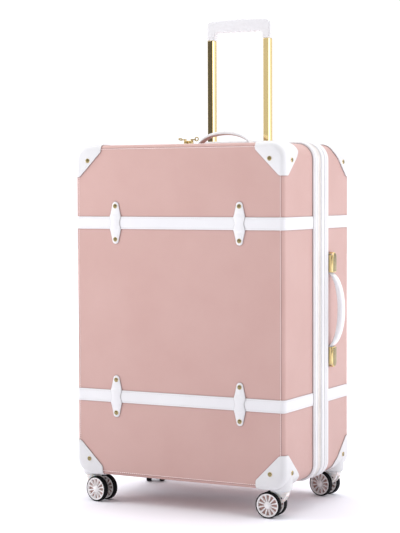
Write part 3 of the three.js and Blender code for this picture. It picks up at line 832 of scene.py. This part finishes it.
def band(half, level):
    node = f"{half}_band_{level}"
    low, high = node_box(node)
    toward = -1 if half == "front" else 1
    edge_y = high.y if half == "front" else low.y
    body = "lid" if half == "front" else "base"
    proud = high.x - HALF_WIDTH
    middle, half_width = (low.z + high.z) / 2, (high.z - low.z) / 2
    seams = (BAND_SEAM - half_width, half_width - BAND_SEAM)
    crown = cushioned(-half_width, half_width, proud, seams, 0.9)
    section = [(-half_width, 0.05)] + crown + [(half_width, 0.05)]
    path = level_path(toward, edge_y)
    loops = [[(x + h * ox, y + h * oy, middle + v) for v, h in section] for x, y, ox, oy in path]
    show(f"{node}_sewn", mesh_from(*bridge(loops), 50), WHITE, body, [node])
    for row, seam in zip(("low", "high"), seams):
        places = []
        for point, tangent, outward in evenly(path, STITCH_PITCH):
            up = outward.to_3d()
            origin = Vector((point.x, point.y, middle + seam)) + up * (proud - STITCH_SUNK)
            places.append((origin, tangent.to_3d(), up))
        show(f"{node}_stitches_{row}", scatter(STITCH, places), THREAD, body)


KEEPER_END = 7.2  # radius of its round ends
KEEPER_WAIST = 9.6  # half its width over the middle of the band
RIVET_FROM_BAND = 33.5


def keeper_half_width(height, half_length, widest, shoulder):
    distance = abs(height)
    end = half_length - KEEPER_END
    if distance < shoulder:
        return KEEPER_WAIST + (widest - KEEPER_WAIST) * smoothstep(distance / shoulder)
    if distance < end:
        return widest + (KEEPER_END - widest) * (distance - shoulder) / (end - shoulder)
    return math.sqrt(max(0, KEEPER_END ** 2 - (distance - end) ** 2))


def keeper_mesh(half_length, widest, shoulder, proud, band_proud):
    """A riveted plate that rises over its band. Drawn flat: x across, z up, -y outwards."""
    rows = 90
    loops = []
    for i in range(rows + 1):
        z = -half_length * math.cos(math.pi * i / rows)
        half = max(0.05, keeper_half_width(z, half_length, widest, shoulder))
        rise = smoothstep((shoulder + 7 - abs(z)) / 8)
        height = proud - (band_proud - 0.4) * (1 - rise)
        edge = min(1.0, half)
        taper = min(1, (half_length - abs(z)) / 1.1)
        height *= 0.45 + 0.55 * math.sqrt(max(0, 1 - (1 - taper) ** 2))
        side = [(half, -0.1), (half, -height + 0.9 * edge), (half - 0.3 * edge, -height + 0.3 * edge),
                (half - edge, -height)]
        left = [(-x, y, z) for x, y in side]
        loops.append(left + [(0, -height - 0.15, z)] + [(x, y, z) for x, y in side[::-1]])
    return mesh_from(*bridge(loops), 40)


def bands_and_keepers():
    for half in ("front", "rear"):
        for level, _ in LEVELS:
            band(half, level)
    band_low, band_high = node_box("front_band_upper")
    shoulder = (band_high.z - band_low.z) / 2
    band_proud = band_high.x - HALF_WIDTH
    for level, _ in LEVELS:
        for side, _ in SIDES:
            node = f"keeper_{level}_{side}"
            low, high = node_box(node)
            middle = (low + high) / 2
            proud = -HALF_DEPTH - low.y
            plate = keeper_mesh((high.z - low.z) / 2, (high.x - low.x) / 2, shoulder, proud, band_proud)
            plate = shifted(plate, middle.x, -HALF_DEPTH, middle.z)
            show(f"{node}_plate", plate, WHITE, "lid", [node])
            for end, sign in (("top", 1), ("bottom", -1)):
                face = -HALF_DEPTH - (proud - band_proud + 0.3)
                place = (middle.x, face, middle.z + sign * RIVET_FROM_BAND)
                rivet_at(f"{node}_rivet_{end}", place, (0, -1, 0), "lid")


# ---- corner protectors

CORNER_REACH = {"top": (61, 70, 64), "bottom": (61, 70, 68)}  # along x, y, z from the case's faces
CORNER_CUTS = {"top": (74, 87), "bottom": (78, 91)}  # limits of x + z and of y + slope * z
CORNER_CUT_TOP = 98  # limit of x + y
CORNER_SLOPE = 1.12
CORNER_OVERHANG = 5
HOUSING = (54, 92, 23)  # bottom, top and radius
SOCKET_RADIUS = 5.8
SOCKET_TOP = 62
CORNER_RIVET = (30, 31)  # in from the side and from the top or bottom


def cut_off(mesh, normal, limit):
    """The part of a solid where its points' product with a normal stays under a limit."""
    work = bmesh.new()
    work.from_mesh(mesh)
    point = Vector(normal) * limit / Vector(normal).length_squared
    geometry = work.verts[:] + work.edges[:] + work.faces[:]
    cut = bmesh.ops.bisect_plane(work, geom=geometry, plane_co=point, plane_no=normal, clear_outer=True)
    bmesh.ops.contextual_create(work, geom=[e for e in cut["geom_cut"] if isinstance(e, bmesh.types.BMEdge)])
    work.to_mesh(mesh)
    work.free()
    return smoothed(mesh, 20)


def corner_region(level):
    """The part of space that the protector of the corner at the origin covers, inwards along +x, +y, +z."""
    region = box_mesh((-CORNER_OVERHANG,) * 3, CORNER_REACH[level])
    front, side = CORNER_CUTS[level]
    for normal, limit in (((1, 0, 1), front), ((0, 1, CORNER_SLOPE), side), ((1, 1, 0), CORNER_CUT_TOP)):
        region = cut_off(region, normal, limit)
    return bevelled(region, 3, 5, 15)


def corner_plate(level):
    """The protector of the corner on the right of the lid, at the top or the bottom."""
    z, inward = (TOP, -1) if level == "top" else (BOTTOM, 1)
    place = Matrix.Translation((HALF_WIDTH, -HALF_DEPTH, z)) @ Matrix.Diagonal((-1, 1, inward, 1))
    covered = boolean(case_solid(2.0), moved(corner_region(level), place), "INTERSECT")
    return bevelled(boolean(covered, case_solid(0.15), "DIFFERENCE"), 0.7, 3, 57.3, 60)


def caster_housing(middle):
    """The round foot under a bottom corner that the caster turns in."""
    low, top, radius = HOUSING
    profile = [
        (0, low), (radius - 3.5, low), (radius - 1.6, low + 0.5), (radius - 0.4, low + 1.8),
        (radius, low + 3.6), (radius, top), (0, top),
    ]
    drum = shifted(lathe(profile, 48, 40), middle.x, middle.y)
    return boolean(drum, case_solid(0.15), "DIFFERENCE")


def caster_socket(middle):
    """The hole that the caster's stem turns in."""
    hole = upright(arc((0, 0), SOCKET_RADIUS, 0, 345, 23), HOUSING[0] - 5, SOCKET_TOP)
    return shifted(hole, middle.x, middle.y)


def corners():
    plates = {level: corner_plate(level) for level in ("top", "bottom")}
    swivel = drawn(JOINTS["swivel_front_right"]["pos_m"])
    parts = (plates["bottom"], caster_housing(swivel))
    plates["bottom"] = joined([boolean(part, caster_socket(swivel), "DIFFERENCE") for part in parts])
    for half, sign_y, body in (("front", 1, "lid"), ("rear", -1, "base")):
        for level in ("top", "bottom"):
            for side, sign_x in SIDES:
                node = f"corner_{half}_{level}_{side}"
                mirror = Matrix.Diagonal((sign_x, sign_y, 1, 1))
                show(f"{node}_cap", moved(plates[level], mirror), WHITE_CAP, body, [node])
                corner_rivets(node, sign_x, -sign_y, level, body)


def corner_rivets(node, sign_x, sign_y, level, body):
    inward, upward = CORNER_RIVET
    z = TOP - upward if level == "top" else BOTTOM + upward
    face = (sign_x * (HALF_WIDTH - inward), sign_y * (HALF_DEPTH + 1.9), z)
    rivet_at(f"{node}_rivet_face", face, (0, sign_y, 0), body)
    side_z = z - 3 if level == "top" else z
    side = (sign_x * (HALF_WIDTH + 1.9), sign_y * (HALF_DEPTH - inward - 2), side_z)
    rivet_at(f"{node}_rivet_side", side, (sign_x, 0, 0), body)


# ---- casters

SPOKES = 12
WHEEL_RADIUS = 25.8
WHEEL_WIDTH = 11.5
TYRE_BORE = 23.2
TRAIL = 20


def both_faces(profile):
    """A wheel's profile over its lower face, followed by the same over its upper face."""
    return profile + [(r, -h) for r, h in profile[::-1]]


def tyre_mesh():
    half = WHEEL_WIDTH / 2
    lower = [(TYRE_BORE, -half + 0.5), (WHEEL_RADIUS - 2.6, -half)]
    lower += arc((WHEEL_RADIUS - 2, 2 - half), 2, -90, 0, 5) + [(WHEEL_RADIUS, -1.6)]
    return lathe(both_faces(lower), 72, 40)


def rim_mesh():
    """The white rim ring, the hub and the spokes on both faces of a wheel, turned about z."""
    half = WHEEL_WIDTH / 2
    ring = [(20.0, -half + 1.4), (20.5, -half + 0.3), (22.7, -half + 0.2), (23.3, -half + 0.7)]
    hub = [(2.9, -half + 0.8), (3.4, -half - 0.1), (5.4, -half - 0.1), (6.8, -half + 0.8)]
    meshes = [lathe(both_faces(ring), 64, 40), lathe(both_faces(hub), 40, 40)]
    cap = shifted(lathe([(0, 1.0), (2.0, 0.9), (3.6, 0.5), (4.0, 0), (0, -0.3)], 32, 40), z=half)
    spoke = spoke_mesh(half - 0.55)
    for sign in (1, -1):
        face = Matrix.Diagonal((1, 1, sign, 1))
        meshes.append(moved(cap, face))
        for i in range(SPOKES):
            meshes.append(moved(spoke, Matrix.Rotation(2 * math.pi * (i + 0.5) / SPOKES, 4, "Z") @ face))
    return joined(meshes, 40)


def spoke_mesh(face):
    """A tapering spoke along x on the upper face of a wheel."""
    loops = []
    for x, half, top in ((6.0, 0.75, face), (13, 1.1, face - 0.15), (20.6, 1.55, face)):
        side = [(half + 0.35, 0.6), (half, top - 0.5), (half - 0.45, top)]
        loops.append([(x, -y, z) for y, z in side] + [(x, y, z) for y, z in side[::-1]])
    return mesh_from(*bridge(loops), 40)


def web_mesh():
    """The wall inside a wheel, between the spokes of its two faces."""
    return lathe([(6.2, -0.7), (20.6, -0.7), (20.6, 0.7), (6.2, 0.7)], 48, 40)


FORK_END = 8  # radius round the axle
FORK_WIDTH = 15.8
FORK_TOP = 53.7
FORK_PIN = (5, 40)  # x and z of the pins on its cheeks


def fork_outline():
    """The fork's side in (x, z): the swivel axis is x = 0 and the wheels trail towards -x."""
    hub = arc((-TRAIL, WHEEL_RADIUS), FORK_END, -189, -41, 14)
    nose = bezier(hub[-1], (3, 27.5), (15.6, 36), (16.2, FORK_TOP - 2.4), 14)
    return [(-12, FORK_TOP - 2.4)] + hub + nose


def fork_mesh():
    half = FORK_WIDTH / 2
    body = across(fork_outline(), -half, half)
    slot = box_mesh((-60, -4, -10), (60, 4, 44))
    body = boolean(body, slot, "DIFFERENCE")
    body = bevelled(body, 1.1, 3, 30)
    rib = across([(-11, 46), (-11, 52), (13, 52), (10, 44), (2, 41)], -half - 0.9, half + 0.9)
    disc = [(0, FORK_TOP - 1.5), (19.0, FORK_TOP - 1.5), (19.8, FORK_TOP - 1.1), (20, FORK_TOP - 0.7)]
    disc += [(20, FORK_TOP - 0.4), (19.6, FORK_TOP), (0, FORK_TOP)]
    stem = [(0, FORK_TOP - 1), (5, FORK_TOP - 1), (5, 57), (4.6, 57.4), (0, 57.4)]
    return joined([body, bevelled(rib, 0.8, 3, 30), lathe(disc, 48, 40), lathe(stem, 24, 40)], 40)


def cross_bar(radius, reach, steps, x, z):
    """A steel bar along y with chamfered ends."""
    upper = [(radius, reach - 0.4), (radius - 0.3, reach), (0, reach)]
    profile = [(r, -h) for r, h in upper[::-1]] + upper
    turn = Matrix.Rotation(math.radians(90), 4, "X")
    return moved(lathe(profile, steps, 40), Matrix.Translation((x, 0, z)) @ turn)


def axle_mesh():
    """The steel axle, with the two pins that show on the fork's cheeks."""
    pin = cross_bar(1.7, FORK_WIDTH / 2 + 0.35, 20, *FORK_PIN)
    return joined([cross_bar(2.5, 19, 24, -TRAIL, WHEEL_RADIUS), pin])


def casters():
    fork, axle, tyre, rim, web = fork_mesh(), axle_mesh(), tyre_mesh(), rim_mesh(), web_mesh()
    for end in ("front", "rear"):
        for side, _ in SIDES:
            place = f"{end}_{side}"
            swivel = drawn(JOINTS[f"swivel_{place}"]["pos_m"])
            along_axle = Vector(JOINTS[f"roll_{place}_a"]["axis"])
            stand = axes_matrix((swivel.x, swivel.y, 0), along_axle.cross((0, 0, 1)), along_axle, (0, 0, 1))
            node = f"caster_fork_{place}"
            show(f"{node}_moulding", moved(fork, stand), CLOUDY, f"caster_{place}", [node])
            show(f"{node}_pins", moved(axle, stand), DARK_STEEL, f"caster_{place}")
            for hand in ("a", "b"):
                wheel = f"wheel_{place}_{hand}"
                hub = drawn(JOINTS[f"roll_{place}_{hand}"]["pos_m"])
                matrix = axes_matrix(hub, (0, 0, 1), along_axle.cross((0, 0, 1)), along_axle)
                show(f"{wheel}_tyre", moved(tyre, matrix), RUBBER, wheel, [wheel])
                show(f"{wheel}_rim", moved(rim, matrix), RIM_WHITE_LIT, wheel)
                show(f"{wheel}_web", moved(web, matrix), ROSY, wheel)


# ---- pull handle

TUBE_WIDTH = 16
TUBE_DEPTH = 19
TUBE_CHAMFER = (2, 4)  # along x and along y
HOLLOW = (3.2, 0.7)  # half width and depth
GRIP_CORNER = 7
GRIP_LEG_INNER = 57
BEZEL_ROUND = 4
GRIP_FILLET = 12
BUMP_PITCH = 12


def tubes():
    for side, _ in SIDES:
        node = f"inner_tube_{side}"
        low, high = node_box(node)
        middle = (low + high) / 2
        tube = bevelled(upright(tube_outline(), low.z, high.z), 0.4, 2, 20, sharp=8)
        tube = shifted(tube, middle.x, middle.y)
        show(f"{node}_drawn", tube, GOLD_TUBE, "pull_handle", [node])


def tube_outline():
    """A box section with chamfered corners and a shallow hollow down each of its two side faces."""
    x, y = TUBE_WIDTH / 2, TUBE_DEPTH / 2
    cut_x, cut_y = TUBE_CHAMFER
    turns = [math.radians(a) for a in range(0, 181, 20)]
    half = [(cut_x - x, -y), (x - cut_x, -y), (x, cut_y - y)]
    half += [(x - HOLLOW[1] * math.sin(a), -HOLLOW[0] * math.cos(a)) for a in turns]
    half.append((x, y - cut_y))
    return half + [(-px, -py) for px, py in half]


def grip_outline(low, high, leg_inner):
    """The bow's outline in (x, z), with finger bumps under its bar."""
    half = high.x
    bar_bottom, bar_top = low.z + 16, high.z - 4
    right = [(half, low.z), (half, bar_top - GRIP_CORNER)]
    right += bezier(right[-1], (half, bar_top - 4), (half - 4, bar_top), (half - GRIP_CORNER, bar_top + 1), 8)
    right += bezier(right[-1], (half * 0.6, high.z - 0.4), (half * 0.3, high.z), (0, high.z), 10)
    outer = right + [(-x, z) for x, z in right[-2::-1]]
    inner = [(-leg_inner, low.z)]
    inner += bezier((-leg_inner, low.z), (-leg_inner, bar_bottom - 5), (-leg_inner + 4, bar_bottom),
                    (-leg_inner + GRIP_FILLET, bar_bottom), 8)
    start = -leg_inner + GRIP_FILLET
    steps = 60
    for i in range(1, steps):
        x = start - 2 * start * i / steps
        fade = smoothstep((abs(start) - abs(x)) / 6)
        inner.append((x, bar_bottom - 1.5 * fade * abs(math.cos(math.pi * x / BUMP_PITCH)) ** 0.8))
    return outer + inner + [(-x, z) for x, z in inner[8::-1]]


def grip():
    low, high = node_box("pull_grip")
    middle = (low + high) / 2
    leg_bottom = node_box("inner_tube_left")[1].z + GAP
    outline = grip_outline(Vector((low.x, low.y, leg_bottom)), high, GRIP_LEG_INNER)
    bow = bevelled(across(outline, low.y - middle.y, high.y - middle.y), 4.4, 6, 50)
    pocket = upright(rounded_outline(35, 9, 4.5), high.z - 8, high.z + 4)
    bow = boolean(shifted(bow, 0, middle.y), shifted(pocket, 0, middle.y), "DIFFERENCE")
    show("pull_grip_bow", bow, GLOSS_WHITE, "pull_handle", ["pull_grip"])
    button_low, button_high = node_box("release_button")
    button = upright(rounded_outline(34, 8, 4), button_low.z, button_high.z)
    button = shifted(bevelled(button, 0.5, 3, 50), 0, middle.y)
    show("release_button_cap", button, GLOSS_WHITE, "release", ["release_button"])


def bezel():
    low, high = node_box("pull_bezel")
    middle = (low + high) / 2
    width, depth = high.x - low.x, high.y - low.y
    levels = [(low.z, 0)]
    for x, z in arc((0, high.z - BEZEL_ROUND), BEZEL_ROUND, 0, 90, 8):
        levels.append((z, BEZEL_ROUND - x))
    loops = []
    for z, inset in levels:
        outline = rounded_outline(width - 2 * inset, depth - 2 * inset, 8 - inset / 2)
        loops.append([(x + middle.x, y + middle.y, z) for x, y in outline])
    plate = boolean(mesh_from(*bridge(loops)), tube_passage(0.7, low.z - 5, high.z + 5), "DIFFERENCE")
    show("pull_bezel_plate", plate, GLOSS_WHITE, "base", ["pull_bezel"])


# ---- carrying handles
# Both are drawn flat first: u along the strap, v across it, w away from the shell.

TOP_STRAP = {"half_span": 62, "foot": 1, "tongue": 2.6, "inner": 23.5, "outer": 31.5}
SIDE_STRAP = {"half_span": 74.4, "foot": 1.8, "tongue": 5, "inner": 19.5, "outer": 33.5}
SIDE_STRAP_SEAMS = (52, 53.6)
TONGUE_PLAY = 0.6
RIVET_PAST_MIDDLE = 6


def arch(half_span, foot, crown, low_bend, high_bend):
    """A strap's underside or top as (u, w) points. The bends are parts of the half span and the crown."""
    left = [(-half_span, foot)]
    first = (-low_bend[0] * half_span, low_bend[1] * crown)
    left += bezier(left[0], first, (-high_bend * half_span, crown), (0, crown), 20)
    return left + [(-u, w) for u, w in left[-2::-1]]


def strap_sections(half_span, foot, tongue, inner, outer, reach, steps):
    """(u, underside, top) at even steps along a strap, tongues included."""
    under = arch(half_span, foot, inner, (0.84, 0.6), 0.5)
    over = arch(half_span, foot + tongue, outer, (0.92, 0.64), 0.55)
    sections = []
    for i in range(steps + 1):
        u = -reach + 2 * reach * i / steps
        sections.append((u, height_at(under, u, foot), height_at(over, u, foot + tongue)))
    return sections


def height_at(curve, u, beyond):
    """The curve's height at u, or another height where the curve doesn't reach."""
    for (u0, w0), (u1, w1) in zip(curve, curve[1:]):
        if u0 <= u <= u1:
            return w0 + (w1 - w0) * (u - u0) / max(1e-9, u1 - u0)
    return beyond


def strap_mesh(sections, width, squareness, seams, sides=28):
    """A strap with a rounded section, dented where seams cross it. Its lower half is material 1."""
    loops = []
    for u, low, high in sections:
        dent = sum(0.5 * math.exp(-((abs(u) - seam) / 0.9) ** 2) for seam in seams)
        half_v, half_w = width / 2 - dent, (high - low) / 2 - dent
        loop = []
        for side in range(sides):
            a = 2 * math.pi * side / sides
            c, s = math.cos(a), math.sin(a)
            v = half_v * math.copysign(abs(c) ** squareness, c)
            w = (low + high) / 2 + half_w * math.copysign(abs(s) ** squareness, s)
            loop.append((u, v, w))
        loops.append(loop)
    return two_toned(mesh_from(*bridge(loops), 55), lambda normal: normal.z < -0.3)


def strap_cap(node, along, up, base, pocket, edge):
    """A metal cap with a round end, open towards its strap's tongue, from the box of its CAD plate.
    The pocket is (half width, low, high, how far it stops short of the end)."""
    low, high = node_box(node)
    middle, along, up = (low + high) / 2, Vector(along), Vector(up)
    length, half = abs((high - low).dot(along)), (high.y - low.y) / 2
    pocket_half, pocket_low, pocket_high, short = pocket
    outline = [(0, -half)] + arc((length - half, 0), half, -90, 90, 16) + [(0, half)]
    cap = bevelled(upright(outline, GAP, high.dot(up) - base), edge, 5, 50)
    hollow = box_mesh((-1, -pocket_half, pocket_low), (length - short, pocket_half, pocket_high))
    mouth = middle - along * length / 2 + up * (base - middle.dot(up))
    return moved(boolean(cap, hollow, "DIFFERENCE"), axes_matrix(mouth, along, up.cross(along), up))


def top_handle():
    low, high = node_box("top_handle")
    middle = (low + high) / 2
    place = axes_matrix((middle.x, middle.y, TOP), (1, 0, 0), (0, 1, 0), (0, 0, 1))
    width = high.y - low.y
    sections = strap_sections(**TOP_STRAP, reach=(high.x - low.x) / 2, steps=100)
    strap = moved(strap_mesh(sections, width, 0.5, ()), place)
    show("top_handle_strap", strap, [STRAP_WHITE, PINK], "top_carry", ["top_handle"])
    for row, sign in (("front", -1), ("back", 1)):
        places = []
        for (u0, _, w0), (u1, _, w1) in zip(sections[8:-8:2], sections[10:-6:2]):
            tangent = Vector((u1 - u0, 0, w1 - w0)).normalized()
            origin = Vector(((u0 + u1) / 2, sign * (width / 2 - 3), (w0 + w1) / 2 - 0.25))
            places.append((origin, tangent, Vector((-tangent.z, 0, tangent.x))))
        stitches = moved(scatter(bead(2.4, 0.7, 0.35), places), place)
        show(f"top_handle_stitches_{row}", stitches, THREAD, "top_carry")
    for side, sign in SIDES:
        node = f"top_handle_plate_{side}"
        pocket = (width / 2 + TONGUE_PLAY, 0.7, 5.9, 5)
        cap = strap_cap(node, (sign, 0, 0), (0, 0, 1), TOP, pocket, 1.4)
        show(f"{node}_cap", cap, GOLD, "base", [node])
        plate = node_middle(node)
        rivet_place = (plate.x + sign * RIVET_PAST_MIDDLE, plate.y, node_box(node)[1].z - 0.1)
        rivet_at(f"{node}_rivet", rivet_place, (0, 0, 1), "base")


def side_handle():
    low, high = node_box("side_handle")
    middle = (low + high) / 2
    place = axes_matrix((HALF_WIDTH, middle.y, middle.z), (0, 0, -1), (0, 1, 0), (1, 0, 0))
    width = high.y - low.y
    sections = strap_sections(**SIDE_STRAP, reach=(high.z - low.z) / 2, steps=110)
    strap = moved(strap_mesh(sections, width, 0.78, SIDE_STRAP_SEAMS), place)
    show("side_handle_strap", strap, STRAP_WHITE, "side_carry", ["side_handle"])
    for level, sign in LEVELS[::-1]:
        node = f"side_handle_bracket_{level}"
        pocket = (width / 2 + TONGUE_PLAY, 1.5, 10.6, 3)
        cap = strap_cap(node, (0, 0, sign), (1, 0, 0), HALF_WIDTH, pocket, 3.2)
        # The cap's outward face is gold painted dark as a reflection.
        cap = two_toned(cap, lambda normal: normal.x > 0.97)
        show(f"{node}_cap", cap, [GOLD, GOLD_DARK_REFLECTION], "base", [node])


# ---- zip sliders and pulls

SLIDER_TOP = 741.4
RING_RADIUS = 5.0  # of the ring at a pull's end, to its outer edge
RING_WIRE = 1.15  # radius of the ring's wire
RING_TILT = {"left": 25, "right": 78}  # degrees that each ring stands up from lying flat


def zip_sliders():
    for side, sign in SIDES:
        node = f"zip_slider_{side}"
        low, high = node_box(node)
        pin = drawn(JOINTS[f"zip_pull_{side}_flip"]["pos_m"])
        half = [(-4.5, -3.2), (-3.2, -5), (3.2, -5), (4.5, -3.2)]
        outline = half + [(-x, -y) for x, y in half]
        body = bevelled(upright(outline, low.z, SLIDER_TOP), 0.9, 3, 40)
        body = shifted(body, (low.x + high.x) / 2, pin.y)
        lug = box_mesh((pin.x - 1.5, pin.y - 2, SLIDER_TOP - 0.8), (pin.x + 1.5, pin.y + 2, high.z))
        rod = moved(
            lathe([(0, -4), (0.8, -4), (0.8, 4), (0, 4)], 16), Matrix.Rotation(math.radians(90), 4, "X"))
        slider = joined([body, bevelled(lug, 0.4, 2, 40), shifted(rod, pin.x, pin.y, pin.z)])
        show(f"{node}_body", slider, GOLD, f"slider_{side}", [node])
        zip_pull(side, sign, pin)


def wire_ring(radius, wire, steps=36, sides=10):
    """A closed ring of round wire about the z axis."""
    loops = []
    for i in range(steps):
        turn = 2 * math.pi * i / steps
        loop = []
        for x, z in arc((radius - wire, 0), wire, 0, 360 - 360 / sides, sides - 1):
            loop.append((x * math.cos(turn), x * math.sin(turn), z))
        loops.append(loop)
    return mesh_from(*bridge(loops, closed_chain=True), 60)


def zip_pull(side, sign, pin):
    """A forked tab that narrows to an eye, with a wire ring hooked through it."""
    node = f"zip_pull_{side}"
    low, high = node_box(node)
    reach = (high.x - pin.x) if sign > 0 else (pin.x - low.x)
    ring_x = reach - RING_RADIUS
    eye_x = ring_x - RING_RADIUS + 1
    half = 1.1
    bars = [box_mesh((-1.4, v - 0.8, -1.3), (4.4, v + 0.8, half)) for v in (-3.15, 3.15)]
    plate = upright([(2.9, -3.9), (eye_x, -1.5), (eye_x, 1.5), (2.9, 3.9)], -half, half)
    eye = lathe([(0.8, -half), (0.8, half), (1.6, half), (2.0, 0), (1.6, -half)], 20, 40)
    tilt = Matrix.Rotation(math.radians(RING_TILT[side]), 4, "X")
    ring = moved(wire_ring(RING_RADIUS, RING_WIRE), Matrix.Translation((ring_x, 0, RING_WIRE)) @ tilt)
    flat_parts = [bevelled(part, 0.35, 2, 40) for part in (*bars, plate)]
    pull = joined(flat_parts + [shifted(eye, eye_x + 0.6), ring])
    place = axes_matrix(pin, (sign, 0, 0), (0, sign, 0), (0, 0, 1))
    show(f"{node}_tab", moved(pull, place), AGED_GOLD, f"pull_tab_{side}", [node])


# ---- pieces kept from the frame


def inside_pieces():
    """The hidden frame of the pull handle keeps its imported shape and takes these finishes."""
    finishes = {"tube_foot_bar": ALLOY}
    for side, _ in SIDES:
        finishes[f"outer_tube_{side}"] = ALLOY
        finishes[f"slide_block_{side}"] = GLOSS_WHITE
    for name, material in finishes.items():
        mesh = frame["nodes"][name].data
        mesh.materials.clear()
        mesh.materials.append(material)
    low, high = node_box("tube_cover")
    wall, back = 2, high.y
    outer = [(low.x, back), (low.x, low.y + 6)] + arc((low.x + 6, low.y + 6), 6, 180, 270, 8)[1:]
    inner = [(low.x + wall, back)] + arc((low.x + 6, low.y + 6), 6 - wall, 180, 270, 8)
    outline = outer + [(-x, y) for x, y in outer[::-1]] + [(-x, y) for x, y in inner] + inner[::-1]
    cover = bevelled(upright(outline, low.z, high.z), 0.5, 2, 60)
    show("tube_cover_board", cover, BOARD, "base", ["tube_cover"])


camera()
studio()
shells()
edge_seams()
belt()
hinge_gusset()
bands_and_keepers()
corners()
casters()
tubes()
grip()
bezel()
top_handle()
side_handle()
zip_sliders()
inside_pieces()
